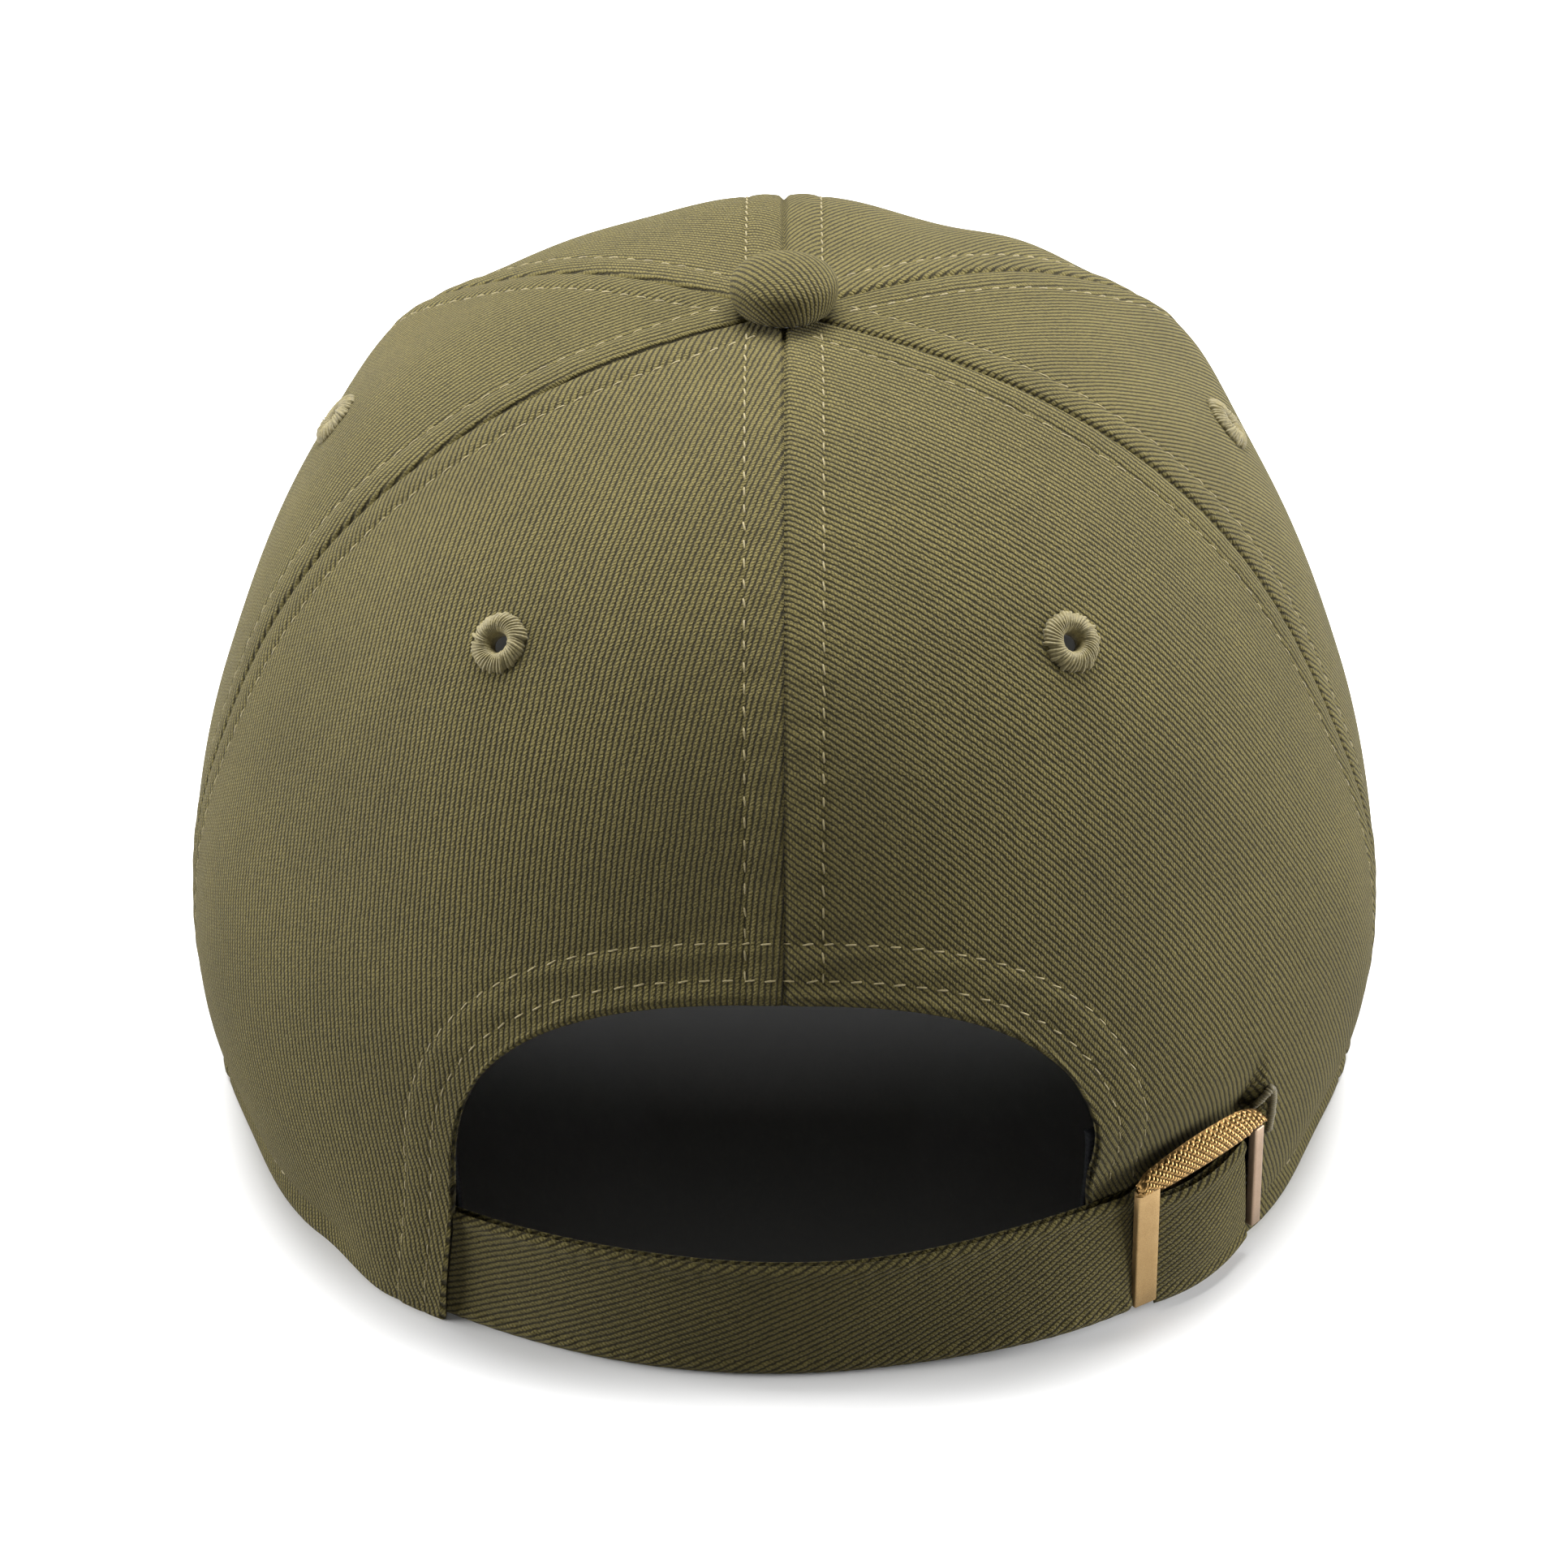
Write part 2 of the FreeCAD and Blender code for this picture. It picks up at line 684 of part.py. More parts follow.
# ---------------------------------------------------------------------------
# Visor
# ---------------------------------------------------------------------------
def visor_plan(inset_from_edge):
    """The visor's outline seen from above, extruded into a tall block."""
    half = size("rim_half_width") + size("visor_side_overhang") - inset_from_edge
    widest = size("visor_widest_at")
    length = widest - size("visor_tip") - inset_from_edge
    power = size("visor_outline_power")
    corner_y = size("visor_end")
    corner = Vector(rim_width(corner_y), corner_y, -40)
    outer_points = [corner + Vector(0, 0, 0)]
    steps = 22
    for i in range(steps + 1):
        angle = math.pi * i / steps
        across = math.copysign(abs(math.cos(angle)) ** (2.0 / power), math.cos(angle))
        outer_points.append(Vector(half * across, widest - length * math.sin(angle) ** (2.0 / power), -40))
    outer_points.append(Vector(-corner.x, corner_y, -40))
    inner_points = []
    inner_steps = 20
    start = front_direction(rim_width(corner_y), corner_y)
    for i in range(inner_steps + 1):
        share = i / inner_steps
        here = outline_point(start + (360.0 - 2 * start) * (1.0 - share), 0.0)
        inner_points.append(Vector(here.x, here.y, -40))
    inner_points[0] = outer_points[-1]
    inner_points[-1] = outer_points[0]
    face = Part.Face(Part.Wire([smooth_edge(outer_points), smooth_edge(inner_points)]))
    return face.extrude(Vector(0, 0, 160))


def front_direction(x, y):
    """The direction angle whose rim point lies at this place on the front outline."""
    half_width, centre, front_half = level(0.0)
    return math.degrees(math.atan2(x / half_width, (y - centre) / front_half))


def visor_sheet(low, high):
    """A curved sheet between two heights above the board's middle."""
    slope = math.radians(size("visor_slope"))
    along = Vector(0, math.cos(slope), math.sin(slope))
    axis_height = size("visor_front_height") - size("visor_arc_radius")
    start = Vector(0, -size("front_reach"), axis_height) - along * 150.0
    arc_radius = size("visor_arc_radius")
    outer = Part.makeCylinder(arc_radius + high, 300.0, start, along)
    return outer.cut(Part.makeCylinder(arc_radius + low, 300.0, start, along))


def make_visor():
    """Stiff board between two fabric covers that wrap to its edge."""
    half_board = size("visor_board") / 2
    gap = size("layer_gap")
    cover = size("visor_cover")
    top_half = Part.makeBox(400, 400, 200, Vector(-200, -300, -2))
    layers = (("visor_board", -half_board, half_board, size("visor_hem")),
              ("visor_top_cover", half_board + gap, half_board + gap + cover, 0.0),
              ("visor_under_cover", -half_board - gap - cover, -half_board - gap, 0.0))
    for label, low, high, margin in layers:
        sheet_solid = visor_sheet(low, high).common(top_half).common(visor_plan(margin))
        add_shape(label, biggest(sheet_solid))


# ---------------------------------------------------------------------------
# Buckle
# ---------------------------------------------------------------------------
def add_block(name, width, depth, height, x, y, z):
    """A block with its sizes and place written as expressions over the sheet."""
    block = doc.addObject("Part::Box", name)
    for prop, expression in (("Length", width), ("Width", depth), ("Height", height),
                             ("Placement.Base.x", x), ("Placement.Base.y", y), ("Placement.Base.z", z)):
        block.setExpression(prop, expression)
    return block


def make_buckle():
    """Slide buckle: two outer bars in front of the strap, a middle bar behind it, two rails."""
    half = "dims.buckle_width / 2"
    window = "(dims.strap_width / 2 + dims.rail_gap)"
    outer_face = "(dims.bar_stand_off + dims.bar_thick)"
    inner_face = ("(-2 * dims.strap_ply - dims.layer_gap - dims.sliding_gap"
                  " - dims.middle_bar_thick)")
    depth = "%s - %s" % (outer_face, inner_face)
    tall = "2 * %s + 0.2" % window
    blocks = [
        add_block("buckle_bar", "dims.bar_width", "dims.bar_thick", tall,
                  half + " - dims.bar_width", "dims.bar_stand_off", "-%s - 0.1" % window),
        add_block("buckle_plate", "dims.plate_width", "dims.bar_thick", tall,
                  "-" + half, "dims.bar_stand_off", "-%s - 0.1" % window),
        add_block("buckle_middle", "dims.middle_bar_width", "dims.middle_bar_thick", tall,
                  "-dims.middle_bar_width / 2", inner_face, "-%s - 0.1" % window),
        add_block("buckle_top", "dims.buckle_width", depth, "dims.top_rail_height",
                  "-" + half, inner_face, window),
        add_block("buckle_bottom", "dims.buckle_width", depth, "dims.bottom_rail_height",
                  "-" + half, inner_face, "-%s - dims.bottom_rail_height" % window),
    ]
    frame = doc.addObject("Part::MultiFuse", "buckle_frame")
    frame.Shapes = blocks
    direction = math.radians(size("buckle_direction"))
    outward = Vector(math.sin(direction), math.cos(direction), 0)
    lean = math.radians(WALL_LEAN)
    up_wall = Vector(0, 0, math.cos(lean)) + outward * math.sin(lean)
    out_of_wall = outward * math.cos(lean) - Vector(0, 0, math.sin(lean))
    sideways = out_of_wall.cross(up_wall)
    rotation = FreeCAD.Rotation(sideways, out_of_wall, up_wall, "ZYX")
    place = turning_centre() + outward * strap_radius(STRAP_MIDDLE) + Vector(0, 0, STRAP_MIDDLE)
    frame.Placement = FreeCAD.Placement(place, rotation)
    doc.recompute()
    keep(frame, "buckle_frame")


def make_strap_and_tab():
    """Two plies of cloth on one cone, and the tab that holds the buckle's middle bar."""
    low, high = size("strap_lift"), STRAP_TOP
    ply = size("strap_ply")
    ends = (size("strap_tail_end"), size("strap_hidden_end"))
    cone_band("strap_outer_ply", 0.0, ply, low, high, *ends)
    cone_band("strap_inner_ply", ply + size("layer_gap"), ply, low, high, *ends)
    tab_low = STRAP_MIDDLE - size("tab_width") / 2
    tab_high = STRAP_MIDDLE + size("tab_width") / 2
    tab_turn = math.degrees(size("tab_length") / strap_radius(STRAP_MIDDLE))
    centre = size("buckle_direction") + tab_turn / 4
    cone_band("buckle_tab", -MIDDLE_BAR_INNER + 1.5 * size("layer_gap"), size("tab"), tab_low, tab_high,
              centre - tab_turn / 2, centre + tab_turn / 2)


# ---------------------------------------------------------------------------
# Build, check and write
# ---------------------------------------------------------------------------
make_panels()
make_tapes()
make_linings()
make_sweatband()
make_arch_facing()
make_button()
make_visor()
make_buckle()
make_strap_and_tab()
doc.recompute()

for thing in doc.Objects:
    if "Invalid" in thing.State or "Error" in thing.State:
        raise RuntimeError("%s did not compute: %s" % (thing.Label, thing.State))
for node in nodes:
    if node.Shape.isNull() or not node.Shape.isValid() or node.Shape.Volume <= 0:
        raise RuntimeError("%s has no valid shape" % node.Label)

os.makedirs(NODES_FOLDER, exist_ok=True)
for node in nodes:
    node.Shape.exportStep(os.path.join(NODES_FOLDER, node.Label + ".step"))
    box = node.Shape.optimalBoundingBox(False)
    print("%-22s %9.1f mm3  x %7.1f %7.1f  y %7.1f %7.1f  z %6.1f %6.1f" % (
        node.Label, node.Shape.Volume, box.XMin, box.XMax, box.YMin, box.YMax, box.ZMin, box.ZMax))
print("strap turns about y = %.3f" % turning_centre().y)
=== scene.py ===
# %% [markdown]
# # A six-panel baseball cap, built as a maker would sew it
#
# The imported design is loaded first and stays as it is: it gives every piece its place. The
# looks are then made round it: cloth panels with a woven twill, rows of thread, embroidered
# eyelets, a strap of two plies and a brass slide buckle.

# %% Load the frame
import json
import math

import bpy
import numpy as np
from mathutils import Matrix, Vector


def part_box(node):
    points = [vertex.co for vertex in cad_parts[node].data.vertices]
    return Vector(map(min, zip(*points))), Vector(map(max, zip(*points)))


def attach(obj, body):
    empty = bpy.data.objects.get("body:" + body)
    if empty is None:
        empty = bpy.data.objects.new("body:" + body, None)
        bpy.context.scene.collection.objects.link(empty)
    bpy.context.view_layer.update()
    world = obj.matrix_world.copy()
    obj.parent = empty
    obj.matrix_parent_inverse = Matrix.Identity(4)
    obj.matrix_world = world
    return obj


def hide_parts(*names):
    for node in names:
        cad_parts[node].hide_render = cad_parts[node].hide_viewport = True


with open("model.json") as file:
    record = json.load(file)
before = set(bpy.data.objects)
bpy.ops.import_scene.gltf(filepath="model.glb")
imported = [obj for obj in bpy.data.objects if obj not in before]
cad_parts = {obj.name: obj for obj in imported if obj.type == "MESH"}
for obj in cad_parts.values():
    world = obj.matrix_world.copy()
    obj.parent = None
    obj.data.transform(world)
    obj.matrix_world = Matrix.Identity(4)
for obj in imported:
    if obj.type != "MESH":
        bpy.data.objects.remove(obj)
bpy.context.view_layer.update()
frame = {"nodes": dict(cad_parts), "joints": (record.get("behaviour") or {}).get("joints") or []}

# %% [markdown]
# ## Sizes
#
# Everything is worked out in millimetres and turned to metres as a mesh is made. The crown is
# a rounded form that closes at the button: seen from above it is a circle at the rear and a
# longer oval in front. A direction of 0 degrees is the rear, 90 the wearer's left, 180 the
# front. Most heights come from the frame's own boxes.

# %% The crown's form
MM = 0.001


def low(node):
    return np.array(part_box(node)[0]) / MM


def high(node):
    return np.array(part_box(node)[1]) / MM


CROWN_TOP = high("rear_left_panel")[2]
RIM_HALF_WIDTH = 84.0
REAR_REACH = 92.6
FRONT_REACH = 93.4
SIDE_POWERS = (3.0, 2.85)      # how squarely the crown closes at the sides: upper, round
END_POWERS = (2.58, 2.75)      # and at the rear and the front
OVAL_POWER = 2.2
BELLY = 0.05
BELLY_HEIGHT = 69.7
CLOTH = 1.0
STRAP_CENTRE_Y = frame["joints"][0]["pos_m"][1] / MM


def swelling(z):
    """Fullness of the wall: it swells and dies away smoothly towards the top."""
    rise = z / BELLY_HEIGHT
    fade = np.clip((rise - 0.8) / 0.55, 0.0, 1.0)
    tail = 0.588 * (2 * fade ** 3 - 3 * fade ** 2 + 1) - 1.397 * (fade ** 3 - 2 * fade ** 2 + fade)
    return BELLY * np.where(rise < 0.8, np.sin(np.pi * np.clip(rise, 0.0, 1.0)), tail)


def reach(rim_value, upper_power, round_power, z):
    """How far the crown reaches at height z, closing at the top."""
    share = np.clip(z, 0.0, CROWN_TOP) / CROWN_TOP
    closing = np.maximum(1.0 - share ** upper_power, 0.0) ** (1.0 / round_power)
    return rim_value * closing * (1.0 + swelling(z))


def outline(direction, z):
    """Points of the plain crown form: a circle behind, a rounded oval in front."""
    half_width = reach(RIM_HALF_WIDTH, *SIDE_POWERS, z)
    rear = reach(REAR_REACH, *END_POWERS, z)
    front = reach(FRONT_REACH, *END_POWERS, z)
    centre = rear - half_width
    across, along = np.sin(np.radians(direction)), np.cos(np.radians(direction))
    oval = (np.abs(across) ** OVAL_POWER + np.abs(along) ** OVAL_POWER) ** (-1.0 / OVAL_POWER)
    rho = np.where(along >= 0.0, 1.0, oval)
    length = np.where(along >= 0.0, half_width, front + centre)
    return np.stack([half_width * across * rho, centre + length * along * rho, z + 0.0 * across], -1)


HEIGHTS = CROWN_TOP * (1.0 - np.linspace(0.0, 1.0, 4001)[::-1] ** 3)
MEAN_RADII = (reach(RIM_HALF_WIDTH, *SIDE_POWERS, HEIGHTS)
              + reach(REAR_REACH, *END_POWERS, HEIGHTS)) / 2
STEPS = np.hypot(np.diff(HEIGHTS), np.diff(MEAN_RADII))
DISTANCES = np.concatenate([np.cumsum(STEPS[::-1])[::-1], [0.0]])


def height_at(distance):
    """Height of a point this far down the cloth from the button."""
    return np.interp(distance, DISTANCES[::-1], HEIGHTS[::-1])


def distance_at(z):
    return np.interp(z, HEIGHTS, DISTANCES)


def radius_at(distance):
    return np.interp(distance, DISTANCES[::-1], MEAN_RADII[::-1])


FLARE_SPAN = 14.0


def flare_at(distance):
    """How fast the radius grows down the cloth: 1 on the flat top, 0 on the wall."""
    above = np.maximum(distance - FLARE_SPAN, 0.0)
    below = distance + FLARE_SPAN
    return (radius_at(below) - radius_at(above)) / (below - above)


RIM_DISTANCE = float(distance_at(0.0))
print("cloth from button to rim: %.1f mm" % RIM_DISTANCE)

# %% Seams
REAR_SEAM = (60.0, 84.0)
FRONT_SEAM = (120.0, 128.0)


def seam_direction(seam, distance):
    """A seam's direction: it swings from its value at the button to its value at the rim."""
    share = np.clip(height_at(distance) / CROWN_TOP, 0.0, 1.0)
    return seam[0] + (seam[1] - seam[0]) * np.maximum(1.0 - share ** 2.6, 0.0) ** 0.64


SEAMS = {"rear": (0.0, 0.0), "rear_left": REAR_SEAM, "front_left": FRONT_SEAM, "front": (180.0, 180.0),
         "front_right": (-FRONT_SEAM[0], -FRONT_SEAM[1]), "rear_right": (-REAR_SEAM[0], -REAR_SEAM[1])}
print("seams:", sorted(SEAMS))

# %% [markdown]
# ## Camera, floor and light
#
# The cap is seen from behind and above through a long lens, on a white floor that is lit
# bright enough to have no edge. Two tall soft boxes stand at the sides and a wide one hangs
# above, so the top is brightest and the rear wall falls into its own soft shade.

# %% Camera
VIEW_ELEVATION = math.radians(31.2)
VIEW_DISTANCE = 900.0
VIEW_TARGET = Vector((0.0, 10.5, 45.0))
LENS = 140.9199

camera_data = bpy.data.cameras.new("camera")
camera = bpy.data.objects.new("camera", camera_data)
bpy.context.scene.collection.objects.link(camera)
offset = Vector((0.0, math.cos(VIEW_ELEVATION), math.sin(VIEW_ELEVATION))) * VIEW_DISTANCE
camera.location = (VIEW_TARGET + offset) * MM
camera.rotation_euler = (-offset).to_track_quat("-Z", "Y").to_euler()
camera_data.lens = LENS
camera_data.sensor_width = 36.0
camera_data.clip_end = 50.0
bpy.context.scene.camera = camera
print("lens %.1f mm" % LENS)


# %% Colours and a node helper
def linear(hex_colour):
    """A linear colour from an sRGB hex value."""
    parts = [int(hex_colour[i:i + 2], 16) / 255.0 for i in (1, 3, 5)]
    return [c / 12.92 if c <= 0.04045 else ((c + 0.055) / 1.055) ** 2.4 for c in parts] + [1.0]


def add_node(material, kind, settings=None, **links):
    """Adds a node; settings are its properties, links its inputs by name or number."""
    node = material.node_tree.nodes.new(kind)
    for name, value in (settings or {}).items():
        setattr(node, name, value)
    for name, value in links.items():
        place = int(name[1:]) if name[1:].isdigit() else name.replace("_", " ")
        socket = node.inputs[place]
        if isinstance(value, bpy.types.NodeSocket):
            material.node_tree.links.new(value, socket)
        else:
            socket.default_value = value
    return node


def new_material(name):
    """An empty material with its surface shader and output."""
    material = bpy.data.materials.new(name)
    material.use_nodes = True
    material.node_tree.nodes.clear()
    shader = add_node(material, "ShaderNodeBsdfPrincipled")
    add_node(material, "ShaderNodeOutputMaterial", _0=shader.outputs["BSDF"])
    return material, shader


# %% Floor and lights
def make_floor():
    """A wide white sweep of painted board."""
    bpy.ops.object.select_all(action="DESELECT")
    bpy.ops.mesh.primitive_plane_add(size=14.0, location=(0, 0, 0))
    floor = bpy.context.object
    floor.name = "floor"
    material, shader = new_material("white_painted_board")
    shader.inputs["Base Color"].default_value = linear("#e0e0e0")
    shader.inputs["Roughness"].default_value = 0.9
    shader.inputs["Specular IOR Level"].default_value = 0.1
    floor.data.materials.append(material)
    floor.visible_diffuse = False
    return floor


def add_area_light(name, location, target, size, size_y, watts):
    """A rectangular soft box aimed at a point, in metres."""
    data = bpy.data.lights.new(name, "AREA")
    data.shape = "RECTANGLE"
    data.size, data.size_y = size, size_y
    data.energy = watts
    light = bpy.data.objects.new(name, data)
    bpy.context.scene.collection.objects.link(light)
    light.location = location
    light.rotation_euler = (Vector(target) - Vector(location)).to_track_quat("-Z", "Y").to_euler()


make_floor()
add_area_light("top_box", (0.0, -0.5, 1.25), (0, 0, 0.05), 1.2, 0.8, 65.0)
add_area_light("left_box", (1.4, -0.05, 0.35), (0, 0, 0.05), 0.9, 0.7, 42.0)
add_area_light("right_box", (-1.4, -0.05, 0.35), (0, 0, 0.05), 0.9, 0.7, 44.0)
add_area_light("rear_fill", (0.0, 1.9, 0.3), (0, 0, 0.02), 1.4, 0.5, 11.0)
bpy.context.scene.view_settings.view_transform = "Standard"
world = bpy.data.worlds.new("studio")
bpy.context.scene.world = world
world.use_nodes = True
world.node_tree.nodes["Background"].inputs["Color"].default_value = (1, 1, 1, 1)
world.node_tree.nodes["Background"].inputs["Strength"].default_value = 0.07
print("lights:", [item.name for item in bpy.data.lights])

# %% [markdown]
# ## Cloth finishes
#
# The shell is a heavy cotton twill, dyed olive and washed. Its diagonal ropes are 0.95 mm
# apart, each made of short warp floats, and the weft dips between floats. The dark in the
# grooves between the ropes and in those dips is painted shade, put into the colour.
# The pattern is drawn on the flat pattern piece (the cloth map, in millimetres), turned by
# the angle at which that piece was cut, so the ropes follow the cloth over the crown.


# %% Twill
def twill_material(name, turn, base="#5d5530", dark="#221e0f", pitch=0.86, depth=0.22):
    """Cotton twill whose ropes run at turn degrees from the piece's own length."""
    material, shader = new_material(name)
    cloth_map = add_node(material, "ShaderNodeUVMap", {"uv_map": "cloth"})
    wander = add_node(material, "ShaderNodeTexNoise", {"noise_dimensions": "2D"},
                      Vector=cloth_map.outputs["UV"], Scale=0.11, Detail=2.0)
    centred = add_node(material, "ShaderNodeVectorMath", {"operation": "SUBTRACT"},
                       _0=wander.outputs["Color"], _1=(0.5, 0.5, 0.5))
    drift = add_node(material, "ShaderNodeVectorMath", {"operation": "SCALE"},
                     _0=centred.outputs[0], Scale=0.5)
    moved = add_node(material, "ShaderNodeVectorMath", {"operation": "ADD"},
                     _0=cloth_map.outputs["UV"], _1=drift.outputs[0])
    turned = add_node(material, "ShaderNodeMapping", Vector=moved.outputs[0],
                      Rotation=(0.0, 0.0, -math.radians(turn)))
    axes = add_node(material, "ShaderNodeSeparateXYZ", Vector=turned.outputs[0])
    hair = add_node(material, "ShaderNodeTexNoise", {"noise_dimensions": "2D"},
                    Vector=cloth_map.outputs["UV"], Scale=1.7, Detail=2.0)
    ragged = add_node(material, "ShaderNodeMath", {"operation": "MULTIPLY_ADD"},
                      _0=hair.outputs["Fac"], _1=0.34, _2=axes.outputs["X"])
    ropes = add_node(material, "ShaderNodeMath", {"operation": "DIVIDE"},
                     _0=ragged.outputs[0], _1=pitch)
    rope_number = add_node(material, "ShaderNodeMath", {"operation": "FLOOR"}, _0=ropes.outputs[0])
    rope_wave = add_node(material, "ShaderNodeMath", {"operation": "PINGPONG"},
                         _0=ropes.outputs[0], _1=0.5)
    rope_round = add_node(material, "ShaderNodeMapRange", {"interpolation_type": "SMOOTHERSTEP"},
                          Value=rope_wave.outputs[0], From_Min=0.0, From_Max=0.4)
    stagger = add_node(material, "ShaderNodeMath", {"operation": "MULTIPLY"},
                       _0=rope_number.outputs[0], _1=0.37)
    float_length = add_node(material, "ShaderNodeMath", {"operation": "DIVIDE"},
                            _0=axes.outputs["Y"], _1=pitch * 0.62)
    lean = add_node(material, "ShaderNodeMath", {"operation": "MULTIPLY_ADD"},
                    _0=ropes.outputs[0], _1=0.9, _2=float_length.outputs[0])
    floats = add_node(material, "ShaderNodeMath", {"operation": "ADD"},
                      _0=lean.outputs[0], _1=stagger.outputs[0])
    float_wave = add_node(material, "ShaderNodeMath", {"operation": "PINGPONG"},
                          _0=floats.outputs[0], _1=0.5)
    float_round = add_node(material, "ShaderNodeMapRange", {"interpolation_type": "SMOOTHSTEP"},
                           Value=float_wave.outputs[0], From_Min=0.0, From_Max=0.32,
                           To_Min=0.5, To_Max=1.0)
    weave = add_node(material, "ShaderNodeMath", {"operation": "MULTIPLY"},
                     _0=rope_round.outputs["Result"], _1=float_round.outputs["Result"])
    fibres = add_node(material, "ShaderNodeTexNoise", {"noise_dimensions": "2D"},
                      Vector=turned.outputs[0], Scale=3.2, Detail=3.0, Roughness=0.75)
    relief = add_node(material, "ShaderNodeMath", {"operation": "MULTIPLY_ADD"},
                      _0=fibres.outputs["Fac"], _1=0.9, _2=weave.outputs[0])
    wash = add_node(material, "ShaderNodeTexNoise", {"noise_dimensions": "2D"},
                    Vector=cloth_map.outputs["UV"], Scale=0.035, Detail=4.0, Roughness=0.6)
    # Painted shade: the colour falls from base to dark down into the grooves between the ropes and into
    # the pits between floats.
    shade = add_node(material, "ShaderNodeMapRange", Value=weave.outputs[0], From_Min=0.0, From_Max=0.85)
    groove_shade_ramp = add_node(material, "ShaderNodeMix", {"data_type": "RGBA"}, Factor=shade.outputs["Result"],
                    _6=linear(dark), _7=linear(base))
    # The fibre noise also raises the bump. Its tone is partly random fibre tone and partly painted shade
    # in the fibres' low spots.
    fibre_shade = add_node(material, "ShaderNodeMapRange", Value=fibres.outputs["Fac"],
                           From_Min=0.25, From_Max=0.75, To_Min=0.5, To_Max=1.55)
    wash_shade = add_node(material, "ShaderNodeMapRange", Value=wash.outputs["Fac"],
                          From_Min=0.3, From_Max=0.7, To_Min=0.9, To_Max=1.1)
    both = add_node(material, "ShaderNodeMath", {"operation": "MULTIPLY"},
                    _0=fibre_shade.outputs["Result"], _1=wash_shade.outputs["Result"])
    colour = add_node(material, "ShaderNodeMix", {"data_type": "RGBA", "blend_type": "MULTIPLY"},
                      Factor=1.0, _6=groove_shade_ramp.outputs[2], _7=both.outputs[0])
    bump = add_node(material, "ShaderNodeBump", Strength=1.0, Distance=depth * MM,
                    Height=relief.outputs[0])
    links = material.node_tree.links
    links.new(colour.outputs[2], shader.inputs["Base Color"])
    links.new(bump.outputs["Normal"], shader.inputs["Normal"])
    shader.inputs["Roughness"].default_value = 0.92
    shader.inputs["Specular IOR Level"].default_value = 0.15
    shader.inputs["Sheen Weight"].default_value = 0.09
    shader.inputs["Sheen Roughness"].default_value = 0.5
    shader.inputs["Sheen Tint"].default_value = linear("#cfcab8")
    return material


# Turn of the ropes from each piece's centre line, as it was cut
TURNS = {"rear_left": -15.0, "rear_right": -31.0, "side_left": -28.0, "side_right": -28.0,
         "front_left": -35.0, "front_right": 5.0, "button": 35.0, "strap": 62.0, "visor": 30.0}
TWILLS = {name: twill_material("olive_twill_" + name, turn) for name, turn in TURNS.items()}
print("twills:", sorted(TWILLS))


# %% Thread, tape and other soft finishes
def thread_material(name, colour):
    """Twisted thread: a soft sheen and a fine twist along it."""
    material, shader = new_material(name)
    place = add_node(material, "ShaderNodeTexCoord")
    twist = add_node(material, "ShaderNodeTexNoise", Vector=place.outputs["Object"], Scale=2500.0,
                     Detail=2.0)
    # Painted shade and highlight: the twist noise that raises the bump also darkens the colour in its
    # low spots and lightens it on its high ones.
    shade = add_node(material, "ShaderNodeMapRange", Value=twist.outputs["Fac"], From_Min=0.3,
                     From_Max=0.7, To_Min=0.7, To_Max=1.25)
    mixed = add_node(material, "ShaderNodeMix", {"data_type": "RGBA", "blend_type": "MULTIPLY"},
                     Factor=1.0, _6=linear(colour), _7=shade.outputs["Result"])
    bump = add_node(material, "ShaderNodeBump", Strength=0.6, Distance=0.1 * MM,
                    Height=twist.outputs["Fac"])
    material.node_tree.links.new(mixed.outputs[2], shader.inputs["Base Color"])
    material.node_tree.links.new(bump.outputs["Normal"], shader.inputs["Normal"])
    shader.inputs["Roughness"].default_value = 0.6
    shader.inputs["Specular IOR Level"].default_value = 0.35
    shader.inputs["Sheen Weight"].default_value = 0.1
    return material


THREAD = thread_material("olive_polyester_thread", "#766c49")
# Painted shade: the slot's thread is a darker copy of the olive thread and stands in for the shade
# beside the buckle plate.
SLOT_THREAD = thread_material("olive_buttonhole_thread_painted_shade", "#4d4529")
EYELET_THREAD = thread_material("olive_embroidery_thread", "#675e3b")


